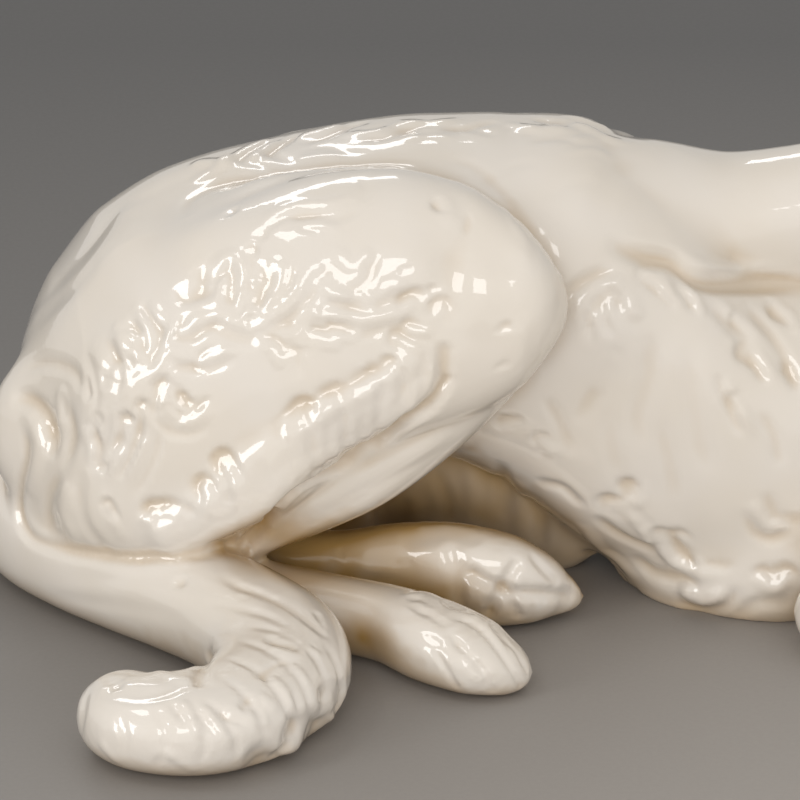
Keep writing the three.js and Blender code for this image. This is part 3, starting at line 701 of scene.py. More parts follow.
SHANK = [
    (2.6, -3.6, [(443, 352), (442, 384), (430, 406), (404, 424), (388, 438), (360, 451), (344, 464), (320, 477),
                 (300, 491), (280, 509), (262, 527), (246, 546)], (0.2, 1)),
    (3.2, 0.9, [(455, 430), (420, 450), (380, 470), (330, 496), (290, 520)]),
]
NEAR_PAW = [
    (2.6, 0.6, [(408, 596), (426, 593), (440, 601)]),
    (1.6, -0.6, [(418, 606), (434, 616), (448, 626)]),
    (2.6, 0.8, [(456, 608), (478, 618), (500, 638), (522, 660)]),
    (1.2, -0.9, [(448, 614), (474, 624), (494, 644), (511, 668), (520, 684)], (0, 0.6)),
    (1.2, -0.8, [(444, 626), (462, 646), (480, 666), (492, 688)], (0, 0.6)),
    (1.2, -0.7, [(432, 646), (444, 664), (456, 684)], (0, 0.6)),
    (1.2, -0.6, [(500, 634), (514, 650), (526, 668)], (0, 0.6)),
]
FAR_PAW = [
    (2.4, -1.3, [(472, 574), (486, 582), (498, 588)]),
    (2.2, -1.0, [(515, 566), (509, 576), (504, 586)]),
    (2.2, -1.2, [(504, 590), (518, 594), (540, 594), (572, 597)], (0.3, 0.4)),
    (2.2, -1.1, [(500, 594), (495, 602), (490, 614)]),
    (1.8, -0.8, [(505, 594), (512, 604), (519, 616)]),
    (5.0, 0.5, [(476, 596), (484, 590)]),
    (4.5, 0.4, [(530, 606), (550, 606)]),
    (5.0, 0.4, [(508, 562), (528, 568), (545, 580)]),
    (1.8, -0.7, [(534, 560), (545, 572), (556, 582)]),
    (3.0, -0.8, [(452, 552), (458, 575), (458, 598)]),
    (2.6, 0.6, [(330, 556), (350, 560), (372, 568), (410, 568)]),
    (3.4, -0.6, [(410, 540), (440, 536), (470, 538)]),
]
TAIL_COAT = [
    (2.4, -1.8, [(203, 676), (206, 662), (214, 646)], (1, 0)),
    (2.0, -1.4, [(220, 572), (238, 584), (262, 592), (292, 606), (314, 622), (328, 636)]),
    (2.2, 0.7, [(150, 562), (172, 562), (195, 560)]),
    (2.4, -0.5, [(60, 575), (110, 580), (160, 578), (205, 588)]),
    (2.4, -0.5, [(40, 595), (100, 604), (150, 610), (190, 620)]),
    (1.8, -0.7, [(206, 600), (240, 606), (275, 616), (305, 634)]),
    (2.0, 0.8, [(278, 634), (298, 638), (320, 650)]),
    (1.6, -0.8, [(250, 622), (285, 630), (315, 652), (332, 690)]),
    (2.0, 0.8, [(276, 644), (298, 650), (306, 644)]),
    (1.6, -0.8, [(240, 636), (270, 646), (298, 668), (312, 700), (316, 725)]),
    (2.4, 1.1, [(274, 668), (290, 660), (304, 672), (312, 684)]),
    (1.6, -0.9, [(230, 652), (258, 664), (282, 688), (294, 715), (300, 742)]),
    (2.2, 1.0, [(276, 674), (286, 684), (292, 694)]),
    (2.2, 1.0, [(254, 700), (262, 690), (276, 698)]),
    (1.6, -0.9, [(222, 668), (244, 684), (262, 708), (270, 738)]),
    (2.2, 0.9, [(236, 704), (250, 708), (266, 714)]),
    (2.2, 1.0, [(212, 704), (220, 716), (232, 732)]),
    (1.6, -0.9, [(208, 690), (226, 708), (240, 734), (240, 752)]),
    (2.2, 1.0, [(190, 698), (198, 710), (204, 722)]),
    (1.6, -0.9, [(192, 690), (206, 714), (210, 740), (204, 758)]),
    (2.0, 0.8, [(164, 744), (180, 748), (196, 760)]),
    (1.6, -0.8, [(160, 700), (172, 722), (170, 744), (160, 760)]),
    (2.0, 0.6, [(110, 738), (120, 750)]),
    (1.8, -0.6, [(124, 706), (132, 728), (128, 750)]),
    (3.4, -1.4, [(120, 684), (140, 688), (165, 686), (184, 680)]),
    (2.4, 0.8, [(100, 674), (125, 664), (160, 666), (190, 674)]),
    (2.4, -0.8, [(92, 682), (90, 704), (86, 728)]),
    (2.2, 0.7, [(104, 676), (112, 682), (120, 684)]),
    (2.0, -1.2, [(268, 760), (280, 746), (290, 738)], (1, 0)),
    (1.8, -1.0, [(354, 694), (344, 700), (336, 706)], (1, 0)),
    (2.0, -0.8, [(328, 640), (340, 668), (340, 700), (330, 722)]),
]
# Broad swells and hollows under the coat
SWELLS = [
    (11.0, 0.8, [(481, 296), (484, 298)]),
    (6.0, -0.35, [(452, 266), (452, 306)]),
    (6.0, -0.35, [(508, 270), (508, 312)]),
    (9.0, 0.6, [(414, 264), (420, 268)]),
    (12.0, 0.5, [(610, 316), (616, 322)]),
    (10.0, 0.9, [(640, 520), (650, 530)]),
    (9.0, 0.8, [(704, 584), (712, 588)]),
    (6.0, -2.2, [(300, 726), (324, 722)]),
    (5.0, -1.6, [(330, 690), (345, 698)]),
    (5.0, 1.0, [(300, 738), (306, 730)]),
    (5.0, 1.0, [(340, 708), (336, 700)]),
    (5.0, -1.4, [(262, 748), (266, 758)]),
]
# The flats of single locks, which catch the light: half of a radius and a line of picture points
FLATS = [
    # claws and hooks of the haunch
    (1.6, [(150, 302), (158, 312), (164, 325), (158, 334)]),
    (1.5, [(141, 308), (148, 320), (154, 335), (152, 350)]),
    (1.8, [(124, 328), (130, 345), (137, 357)]),
    (2.0, [(96, 348), (106, 356), (112, 372), (108, 395), (104, 408)]),
    (1.5, [(122, 372), (135, 375), (142, 368)]),
    (1.2, [(118, 326), (130, 322), (140, 326)]),
    (1.2, [(178, 334), (166, 348), (158, 362)]),
    (1.2, [(164, 355), (176, 358), (190, 357)]),
    (1.4, [(187, 332), (192, 322), (204, 316)]),
    (0.9, [(196, 336), (208, 330), (216, 324)]),
    (1.2, [(199, 366), (208, 358), (220, 354), (233, 352)]),
    (2.0, [(166, 390), (167, 402), (166, 412)]),
    (1.2, [(170, 412), (180, 420), (192, 420), (206, 412), (209, 406)]),
    (0.9, [(184, 398), (192, 405), (200, 409)]),
    (1.0, [(98, 420), (88, 432)]),
    (1.4, [(90, 432), (94, 444), (90, 458)]),
    (1.6, [(128, 424), (127, 438), (118, 456), (111, 478)]),
    (1.2, [(144, 408), (147, 425), (140, 450), (126, 478)]),
    (0.9, [(100, 474), (104, 468)]),
    (1.2, [(108, 506), (114, 518), (121, 532)]),
    (2.4, [(156, 516), (172, 516), (184, 520)]),
    (2.0, [(207, 488), (211, 502)]),
    (2.0, [(225, 462), (232, 476), (238, 490), (238, 502)]),
    (2.0, [(184, 284), (188, 292)]),
    (2.2, [(205, 286), (206, 274), (214, 266)]),
    (2.6, [(214, 264), (232, 260), (241, 270), (240, 294)]),
    (1.2, [(252, 252), (250, 262), (254, 276)]),
    (3.0, [(270, 268), (282, 270), (278, 285), (268, 292)]),
    (1.2, [(314, 262), (308, 276), (296, 288)]),
    (1.0, [(292, 292), (282, 304), (272, 312)]),
    (0.9, [(276, 302), (262, 318), (252, 322)]),
    (1.0, [(246, 296), (240, 312)]),
    (1.3, [(322, 288), (326, 296), (342, 298)]),
    (1.0, [(322, 296), (312, 308), (298, 320)]),
    (0.9, [(325, 310), (342, 309), (360, 317), (378, 319), (398, 314), (412, 308)]),
    (1.6, [(408, 304), (418, 300), (416, 312)]),
    (1.2, [(362, 298), (366, 304)]),
    (0.9, [(386, 291), (389, 285), (396, 288)]),
    (0.8, [(332, 328), (336, 336), (348, 338), (360, 332)]),
    (0.7, [(340, 328), (358, 326)]),
    (0.8, [(315, 332), (328, 336), (334, 342), (316, 342)]),
    (1.2, [(264, 344), (276, 346), (282, 352)]),
    (0.9, [(286, 330), (292, 329)]),
    (0.8, [(294, 353), (306, 354)]),
    (1.2, [(306, 226), (320, 228), (334, 232)]),
    (1.8, [(270, 221), (285, 212), (310, 210), (335, 205), (350, 200)]),
    (0.8, [(354, 178), (359, 182), (360, 190)]),
    (1.1, [(252, 231), (262, 236)]),
    (1.2, [(223, 214), (230, 213)]),
    (2.6, [(342, 256), (344, 270), (350, 280)]),
    (2.2, [(364, 250), (362, 262), (358, 275)]),
    # the fringe roll
    (2.2, [(290, 430), (298, 420), (304, 412)]),
    (1.8, [(320, 410), (330, 400), (338, 396)]),
    (1.8, [(354, 394), (364, 386), (376, 378)]),
    (1.4, [(390, 366), (392, 374)]),
    (1.3, [(396, 340), (408, 346), (416, 350)]),
    (1.2, [(408, 328), (416, 331), (424, 334)]),
    # the knee
    (1.4, [(433, 314), (441, 306)]),
    (0.9, [(433, 292), (442, 292)]),
    (0.9, [(499, 335), (506, 329)]),
    (1.4, [(441, 206), (448, 207)]),
    (0.9, [(472, 218), (468, 232)]),
    (0.8, [(498, 371), (504, 367)]),
    (1.0, [(444, 393), (449, 383)]),
    (0.8, [(404, 273), (414, 273)]),
    # shoulder and ribs
    (3.4, [(590, 300), (605, 290), (622, 288), (628, 298)]),
    (1.4, [(582, 305), (578, 318), (582, 328)]),
    (1.3, [(596, 308), (600, 318)]),
    (1.8, [(648, 274), (660, 284), (676, 298)]),
    (1.5, [(684, 288), (694, 302)]),
    (1.4, [(738, 319), (751, 329)]),
    (1.8, [(746, 352), (760, 360), (770, 372)]),
    (2.0, [(781, 310), (799, 318)]),
    (1.6, [(792, 368), (799, 378)]),
    (1.5, [(736, 402), (743, 413)]),
    (1.4, [(505, 424), (517, 424)]),
    (1.5, [(541, 440), (552, 449)]),
    # the chest's fur
    (2.2, [(612, 508), (626, 514), (640, 528)]),
    (1.8, [(630, 490), (634, 500), (630, 512)]),
    (1.4, [(662, 536), (666, 550), (680, 562)]),
    (1.8, [(680, 540), (690, 556), (704, 572), (728, 574)]),
    (1.4, [(690, 568), (706, 578), (722, 580)]),
    (2.0, [(765, 580), (776, 586), (786, 578)]),
    # the breech
    (1.1, [(62, 402), (62, 416)]),
    (1.2, [(84, 382), (86, 394)]),
    (1.2, [(38, 434), (46, 432)]),
    # the tail
    (1.3, [(185, 697), (192, 706), (203, 719)]),
    (1.5, [(213, 704), (222, 716), (232, 730)]),
    (1.3, [(233, 704), (248, 710), (262, 714)]),
    (1.4, [(254, 699), (262, 692), (274, 690)]),
    (1.7, [(274, 668), (288, 662), (300, 664), (314, 680)]),
    (1.5, [(280, 636), (296, 640), (306, 646), (318, 648)]),
    (1.1, [(300, 690), (306, 702)]),
    (0.8, [(320, 613), (327, 625)]),
    (0.8, [(143, 681), (163, 681)]),
    (1.5, [(103, 673), (112, 672), (119, 679)]),
    (1.0, [(168, 581), (181, 580)]),
    (1.0, [(243, 598), (254, 598)]),
    # the near paw
    (1.0, [(415, 597), (424, 597), (434, 604)]),
    (1.0, [(416, 604), (426, 614), (438, 624)]),
    (1.5, [(430, 634), (434, 642)]),
    (1.2, [(462, 628), (460, 640), (462, 650)]),
    (0.8, [(448, 602), (470, 612), (488, 622)]),
    (0.8, [(494, 628), (504, 640), (516, 656), (524, 664)]),
    (1.2, [(482, 664), (494, 668)]),
    # the far foot
    (1.2, [(345, 552), (356, 560), (372, 568)]),
    (0.8, [(398, 567), (410, 566)]),
]
# Joins that the potter runs smooth: radius, reach and a line of picture points
JOINS = [
    (13, 4, [(590, 548), (640, 556), (720, 560), (799, 560)]),
    (7, 3, [(548, 250), (560, 300), (548, 352)]),
    (9, 4, [(18, 356), (10, 420), (20, 500)]),
    (16, 5, [(175, 205), (150, 230), (100, 285), (50, 330)]),
    (9, 4, [(655, 162), (690, 190), (700, 240)]),
    (9, 4, [(240, 400), (300, 350), (400, 300)]),
    (9, 4, [(420, 330), (440, 340), (452, 370)]),
    (7, 3.5, [(258, 528), (290, 502), (336, 474)]),
]
# How strongly each group of strokes is modelled, as a share of the rise that it is drawn with
COAT = [(HAUNCH_RIM, 0.36), (HAUNCH, 0.36), (FRINGE, 0.7), (BREECH, 0.7), (BACK, 0.36), (FLANK, 0.7), (BELLY, 0.7),
        (SHANK, 0.7), (NEAR_PAW, 0.7), (FAR_PAW, 1.1), (TAIL_COAT, 0.5)]
FAR_WIDTH, FAR_STRENGTH = 1.1, 0.8  # the far side's strokes, against the near side's
FLAT_WIDTH = 2.0  # a flat's radius, against the one that it is drawn with
FIRST_SOFTENING, LAST_SOFTENING = 1.2, 0.4  # mm
SWELL_STEP, SWELL_REACH = 36, 24  # pixels from one of the haunch's swells to the next, and their radius in mm
HAUNCH_RIGHT, HAUNCH_BOTTOM = 425, 545  # pixels up to which a flat lies on the haunch
MOST_SWELL = 3.2  # mm

# What the picture doesn't show is drawn from the side, from above and from the front, in millimetres
FACE = [
    (4.6, -1.7, [(95.5, 103.4), (99.5, 102.8)]),
    (2.0, 1.5, [(96.8, 103.4), (98, 103.2)]),
    (1.3, 0.9, [(93.4, 103), (95.2, 105.4), (98.4, 105.6), (101.4, 102.8)]),
    (1.2, 0.6, [(94.2, 102.2), (97, 101.2), (100.6, 101.8)]),
    (2.8, 0.8, [(89, 107.4), (94.5, 109), (100, 107.6)]),
    (5.0, -1.3, [(105, 99.6), (114, 99), (126, 97)]),
    (7.0, 1.3, [(85, 97), (90, 96)]),
    (3.2, -0.9, [(98, 94), (92, 92.6), (84, 93)]),
    (1.4, -1.3, [(148, 92.6), (140, 91.4), (130, 92.6), (119, 95), (109, 96.4)], (1, 0)),
    (2.4, 0.8, [(146, 95), (134, 95.4), (122, 97.6), (112, 98.6)]),
    (3.6, -0.8, [(94, 97), (88, 103), (84, 107)]),
]
EAR = [
    (1.5, -0.9, [(83, 113), (76, 114.4), (66, 110), (55, 103)]),
    (1.5, -0.9, [(82, 105.6), (74, 102.8), (64, 98.6), (54, 96.6)]),
    (1.4, -0.7, [(80, 110), (72, 108.8), (63, 104.6)]),
    (1.3, 0.5, [(79, 112), (71, 111.4), (62, 107)]),
]
NOSE = [(3.0, 0.7, [(-8.6, 97.4), (-8.6, 96.2)]), (1.3, -1.2, [(-10.9, 96), (-11.6, 95)]),
        (1.3, -1.2, [(-6.3, 96), (-5.6, 95)]), (1.0, -0.8, [(-8.6, 95.4), (-8.6, 92.4)]),
        (1.3, -1.1, [(-12.4, 92), (-8.6, 92.8), (-4.8, 92)])]
SKULL = [(1.8, -0.6, [(82, -2), (92, -3.2), (102, -4.4)]), (3.0, -0.6, [(108, -5.2), (122, -6.6), (136, -8)]),
         (1.6, -0.7, [(140.4, -12), (139.6, -8.4), (140.4, -4.6)])]
FORE_TOES = [
    (1.5, -1.2, [(110, -44.5), (120, -45.4), (131, -44)]),
    (1.5, -1.2, [(109, -39.2), (120, -39.4), (133, -39.6)]),
    (1.5, -1.2, [(110, -34), (120, -33.8), (131, -35.2)]),
    (2.4, 0.8, [(112, -41.8), (124, -42), (130, -41.8)]),
    (2.4, 0.8, [(112, -36.6), (124, -36.6), (130, -37)]),
    (2.2, 0.6, [(112, -47), (123, -47.6)]),
    (2.2, 0.6, [(112, -31.6), (123, -31.4)]),
]
LEFT_TOES_SHIFT = np.array([5.0, 47.2])
# The neck's locks, each modelled with a row of strokes side by side
MANE = [
    [(27, 70), (30, 64), (34, 58), (36, 50)],
    [(33, 80), (38, 74), (42, 66), (43, 58)],
    [(41, 88), (45, 82), (50, 76), (51, 68)],
    [(51, 98), (54, 92), (59, 86), (61, 79)],
]
MANE_STROKES, MANE_STEP = 4, (4.2, -1.2)  # strokes for each lock, and the way from one to the next
MANE_RADIUS, MANE_RISE = 2.6, 0.9


def waved(lock, row):
    """A lock's line, waved a little and lower in each further row."""
    return [(x + 1.6 * math.sin(2.1 * k + row), z + 3.2 * k - 5 * row) for k, (x, z) in enumerate(lock)]


clay, casting_of_corner = run_together()
skin = Skin(clay)
skin.soften(FIRST_SOFTENING)
skin.map_surface()
for radius, reach, drawn in JOINS:
    skin.blend(PICTURED, radius, reach, drawn)
skin.map_surface()

haunch_grid = [(x, y) for x in range(70, 530, SWELL_STEP) for y in range(205, 520, SWELL_STEP)]
haunch_flats = [drawn for _, drawn in FLATS if drawn[0][0] < HAUNCH_RIGHT and drawn[0][1] < HAUNCH_BOTTOM]
skin.lean(PICTURED, haunch_flats, haunch_grid, SWELL_REACH)
skin.rise = MOST_SWELL * np.tanh(skin.rise / MOST_SWELL)
for radius, rise, drawn in SWELLS:
    skin.stroke(PICTURED, radius, rise, drawn, ends=(1, 1))
skin.model()
skin.map_surface()

for group, strength in COAT:
    for radius, rise, drawn, *ends in group:
        skin.stroke(PICTURED, radius, rise * strength, drawn, *ends)
for radius, drawn in FLATS:
    skin.flat(PICTURED, radius * FLAT_WIDTH, drawn)
for side in (RIGHT_SIDE, LEFT_SIDE):
    for radius, rise, drawn, *ends in FACE + EAR:
        skin.stroke(side, radius, rise, drawn, *ends)
    for row, lock in enumerate(MANE):
        for step in range(MANE_STROKES):
            drawn = [(x + MANE_STEP[0] * step, z + MANE_STEP[1] * step) for x, z in waved(lock, row)]
            skin.stroke(side, MANE_RADIUS, MANE_RISE if step % 2 else -MANE_RISE, drawn)
for view, group in ((FROM_FRONT, NOSE), (FROM_ABOVE, SKULL)):
    for radius, rise, drawn in group:
        skin.stroke(view, radius, rise, drawn)
for radius, rise, drawn in FORE_TOES:
    skin.stroke(FROM_ABOVE, radius, rise, drawn)
    skin.stroke(FROM_ABOVE, radius, rise, np.array(drawn) + LEFT_TOES_SHIFT)
for group in (HAUNCH, BACK, FLANK):
    for radius, rise, drawn in group:
        skin.stroke(FAR_SIDE, radius * FAR_WIDTH, rise * FAR_STRENGTH, drawn)
skin.model()
skin.soften(LAST_SOFTENING)
skin.settle()

# The drain under the chest and the vents under the tail: middle x and y, radius, depth
SOLE = 0.4  # mm above the table up to which the clay belongs to the flat underside
for x, y, radius, depth in ((10, 0, 9, 4.5), (-119, -36, 2.5, 4), (-96, -98, 2.5, 4)):
    inside = (np.hypot(skin.places[:, 0] - x, skin.places[:, 1] - y) < radius) & (skin.places[:, 2] < SOLE)
    skin.places[inside, 2] += depth

SHADE_GRAIN = 3.0  # mm between the places where shade is measured
SHADE_RAYS = 24
SHADE_START, SHADE_REACH = 1.5, 34.0  # mm off the surface where a ray starts, and mm that it looks for clay
SHADE_SPREAD = 0.97  # how wide the fan of rays is: at 1 its last ray would lie almost along the surface
SHADE_OF_TABLE = 0.6  # against 1 for clay
SHADE_SOFTENING = 12  # rounds for a grain of 1 mm
GOLDEN_ANGLE = 2.39996
OPEN_SHADE, SHADE_SPAN = 0.29, 0.45  # the shade of open places, and how much more a full hollow has
GROOVE_REACH, FULL_GROOVE = 3.0, 0.7  # mm over which a groove stands out, and how deep a full one is


def painted_shade_and_pooled_glaze():
    """For each corner, 0 to 1, the painted shade of the hollows, from how much clay and table shut it in, and how far
    it lies in grooves, where glaze pools and painted shade darkens it.
    """
    skin.map_surface()
    coarse = new_object("coarse", skin.thing.data.copy())
    apply(coarse, "REMESH", mode="VOXEL", voxel_size=SHADE_GRAIN, adaptivity=0)
    turns = np.arange(SHADE_RAYS) * GOLDEN_ANGLE
    heights = np.sqrt(1 - (np.arange(SHADE_RAYS) + 0.5) / SHADE_RAYS * SHADE_SPREAD)
    fan = np.c_[np.cos(turns) * np.sqrt(1 - heights**2), np.sin(turns) * np.sqrt(1 - heights**2), heights]
    spots = kdtree.KDTree(len(coarse.data.vertices))
    shade = np.zeros(len(coarse.data.vertices))
    for number, corner in enumerate(coarse.data.vertices):
        spots.insert(corner.co, number)
        turn = corner.normal.to_track_quat("Z", "Y").to_matrix()
        start = corner.co + corner.normal * SHADE_START
        blocked = 0.0
        for ray in fan:
            way = turn @ Vector(ray)
            hit = skin.tree.ray_cast(start, way, SHADE_REACH)
            if hit[0] is not None:
                blocked += 1.0
            elif way.z < 0 and start.z + way.z * SHADE_REACH < 0:
                blocked += SHADE_OF_TABLE
        shade[number] = blocked / SHADE_RAYS
    spots.balance()
    painted_hollow_shade = shade[[spots.find(place)[1] for place in skin.places]]
    bpy.data.objects.remove(coarse)
    for _ in range(round(SHADE_SOFTENING / CLAY_GRAIN)):
        painted_hollow_shade = (1 - PULL) * painted_hollow_shade + PULL * sum_beside(skin.edges.T, painted_hollow_shade) / skin.degree
    modelled = skin.places.copy()
    skin.soften(GROOVE_REACH)
    groove_glaze_and_shade = ((skin.places - modelled) * skin.normals).sum(1)
    skin.places = modelled
    return np.clip((painted_hollow_shade - OPEN_SHADE) / SHADE_SPAN, 0, 1), np.clip(groove_glaze_and_shade / FULL_GROOVE, 0, 1)


# The painted shade of the hollows, and the grooves' tint of pooled glaze and painted shade
painted_hollow_shade, groove_glaze_and_shade = painted_shade_and_pooled_glaze()
skin.read_normals()

# The castings part at their seams again
NECK_SEAM_X = 42.0
HEAD_SEAM_SHARE, TAIL_SEAM_SHARE = 0.5, 0.4167
NECK_POINTS, TAIL_POINTS = 600, 300  # how finely the two spines are divided
STRAIGHTENING = 8  # rounds in which each corner goes over to the casting of most of its neighbours
OWN_VOTE = 0.5  # how much a corner's own casting counts against one neighbour's
nodes = sorted(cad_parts)
node_of_corner = np.array([nodes.index(node) for node, _ in CASTINGS.values()])[casting_of_corner]


def of_castings(*names):
    """Which corners come from these castings."""
    return np.isin(casting_of_corner, [list(CASTINGS).index(name) for name in names])


spine = through(np.asarray(NECK_AND_HEAD, float)[:, :3], NECK_POINTS)
seam = round(HEAD_SEAM_SHARE * NECK_POINTS)
head_way = spine[seam + 1] - spine[seam - 1]
head_way /= np.linalg.norm(head_way)
neck = of_castings("neck", "throat")
node_of_corner[neck & (skin.places[:, 0] <= NECK_SEAM_X)] = nodes.index("torso_shell")
node_of_corner[neck & ((skin.places - spine[seam]) @ head_way > 0)] = nodes.index("head_shell")
tail = of_castings("tail")
spine = through(np.asarray(TAIL, float)[:, :3], TAIL_POINTS)
nearest = np.array([np.argmin(((spine - place) ** 2).sum(1)) for place in skin.places[tail]])
past_bend = nearest > round(TAIL_SEAM_SHARE * TAIL_POINTS)
node_of_corner[tail] = np.where(past_bend, nodes.index("tail_plume"), nodes.index("tail_root"))
for _ in range(STRAIGHTENING):
    votes = np.stack([sum_beside(skin.edges.T, node_of_corner == number) + OWN_VOTE * (node_of_corner == number)
                      for number in range(len(nodes))])
    node_of_corner = votes.argmax(0)


class Glazing:
    """A material's nodes. Sockets come back wrapped, so that sums and products are written plainly."""

    def __init__(self, name):
        self.material = bpy.data.materials.new(name)
        self.material.use_nodes = True
        self.tree = self.material.node_tree
        self.shader = self.tree.nodes["Principled BSDF"]

    def node(self, kind, settings, sockets, out=0):
        """A node of this kind with its settings and its sockets' values, and one of its outputs."""
        node = self.tree.nodes.new(kind)
        for setting, value in settings.items():
            setattr(node, setting, value)
        for socket, value in sockets.items():
            self.feed(node.inputs[socket], value)
        return Socket(self, node.outputs[out])

    def feed(self, target, value):
        """Links another node's output to an input, or sets it to a plain value."""
        if isinstance(value, Socket):
            self.tree.links.new(value.socket, target)
        else:
            target.default_value = value

    def mix(self, share, first, second):
        """The first colour, with a share of the second in it."""
        return self.node("ShaderNodeMix", {"data_type": "RGBA"}, {0: share, 6: first, 7: second}, out=2)

    def finish(self, **sockets):
        """Feeds the shader's own sockets and hands the material over."""
        for name, value in sockets.items():
            self.feed(self.shader.inputs[name.replace("_", " ")], value)
        return self.material


class Socket:
    """One output of a node, with arithmetic."""

    def __init__(self, glazing, socket):
        self.glazing, self.socket = glazing, socket

    def math(self, operation, first, second):
        return self.glazing.node("ShaderNodeMath", {"operation": operation}, {0: first, 1: second})

    def __add__(self, other):
        return self.math("ADD", self, other)

    def __sub__(self, other):
        return self.math("SUBTRACT", self, other)

    def __rsub__(self, other):
        return self.math("SUBTRACT", other, self)

    def __mul__(self, other):
        return self.math("MULTIPLY", self, other)

    __radd__, __rmul__ = __add__, __mul__

    def above(self, low, high):
        """0 up to low, 1 from high on."""
        return self.glazing.node("ShaderNodeMapRange", {"interpolation_type": "SMOOTHSTEP"},
                                 {"Value": self, "From Min": low, "From Max": high})


# Colours of the porcelain, of the glaze that pools in its grooves together with painted shade, and of the painted shade
# in its hollows
CREAM, WARM_CREAM = (0.79, 0.728, 0.652, 1), (0.768, 0.698, 0.607, 1)
# The grooves' tint of pooled glaze and painted shade, the painted shade of the hollows, and the iron specks
POOLED_GLAZE_AND_SHADE_OF_GROOVES, PAINTED_SHADE_OF_HOLLOWS, SPECK = (0.60, 0.465, 0.31, 1), (0.41, 0.24, 0.06, 1), (0.2, 0.13, 0.07, 1)
SPECK_SCALE = 95.0


def glazed_porcelain():
    """Cream porcelain under a clear glaze, with warm dark shade painted into its hollows and grooves, where the grooves
    also hold glaze that pools.
    """
    g = Glazing("glazed_porcelain")
    where = g.node("ShaderNodeTexCoord", {}, {}, out=3)
    hollow_shade_share, groove_glaze_and_shade_share = (g.node("ShaderNodeAttribute", {"attribute_name": name}, {}, out=2) for name in ("painted_hollow_shade", "groove_glaze_and_shade"))
    clouds = g.node("ShaderNodeTexNoise", {}, {"Vector": where, "Scale": 42.0, "Detail": 2.0})
    cream = g.mix(clouds.above(0.3, 0.7), CREAM, WARM_CREAM)
    # The grooves' tint: glaze that pools there, and painted shade
    cream = g.mix(groove_glaze_and_shade_share * 0.6, cream, POOLED_GLAZE_AND_SHADE_OF_GROOVES)
    # Painted shade: the hollows darker and warmer where clay and table shut out the light
    cream = g.mix(hollow_shade_share * 0.95, cream, PAINTED_SHADE_OF_HOLLOWS)
    from_speck, cell = (g.node("ShaderNodeTexVoronoi", {"feature": "F1"}, {"Vector": where, "Scale": SPECK_SCALE}, out)
                        for out in (0, 2))
    chosen = g.node("ShaderNodeTexWhiteNoise", {"noise_dimensions": "3D"}, {"Vector": cell})
    speck = (1 - from_speck.above(0.03, 0.055)) * chosen.above(0.965, 0.97)
    cream = g.mix(speck * 0.8, cream, SPECK)
    ripple = g.node("ShaderNodeTexNoise", {}, {"Vector": where, "Scale": 160.0, "Detail": 1.0})
    normal = g.node("ShaderNodeBump", {}, {"Strength": 0.25, "Distance": 0.00006, "Height": ripple})
    g.shader.inputs["Coat Weight"].default_value = 1.0
    g.shader.inputs["Coat Roughness"].default_value = 0.03
    g.shader.inputs["Coat IOR"].default_value = 1.7
    return g.finish(Base_Color=cream, Roughness=0.3 + 0.12 * clouds, Normal=normal)


SEAM_DEPTH = 1.0  # mm under the glaze where a casting is closed
LID_COVER = 0.2  # mm of clay over a lid that doesn't show
# Spots spread over a triangle, as shares of its three corners
LID_SPOTS = [(a / 4, b / 4, 1 - a / 4 - b / 4) for a in range(5) for b in range(5 - a)]


def shows(lid):
    """Whether any spot of a lid stands out of the clay."""
    corners = [corner.co / MM - Vector(FIGURE_TO_FRAME) for corner in lid.verts]
    for share in LID_SPOTS:
        spot = sum((corner * part for corner, part in zip(corners, share)), Vector())
        near, way, _, _ = skin.tree.find_nearest(spot)
        if (spot - near).dot(way) > -LID_COVER:
            return True
    return False


def cap(mesh, sunk):
    """Closes a casting where it was parted from its neighbours, a little under the glaze."""
    bm = bmesh.new()
    bm.from_mesh(mesh)
    rim = [edge for edge in bm.edges if edge.is_boundary]
    rim_corners = {corner for edge in rim for corner in edge.verts}
    for part in bmesh.ops.extrude_edge_only(bm, edges=rim)["geom"]:
        if isinstance(part, bmesh.types.BMVert):
            above = next(edge.other_vert(part) for edge in part.link_edges if edge.other_vert(part) in rim_corners)
            part.co = sunk[above.index]
    rim = [edge for edge in bm.edges if edge.is_boundary]
    lids = bmesh.ops.holes_fill(bm, edges=rim, sides=0)["faces"]
    lids = bmesh.ops.triangulate(bm, faces=lids)["faces"]
    bmesh.ops.delete(bm, geom=[lid for lid in lids if shows(lid)], context="FACES_ONLY")
    bm.to_mesh(mesh)
    bm.free()


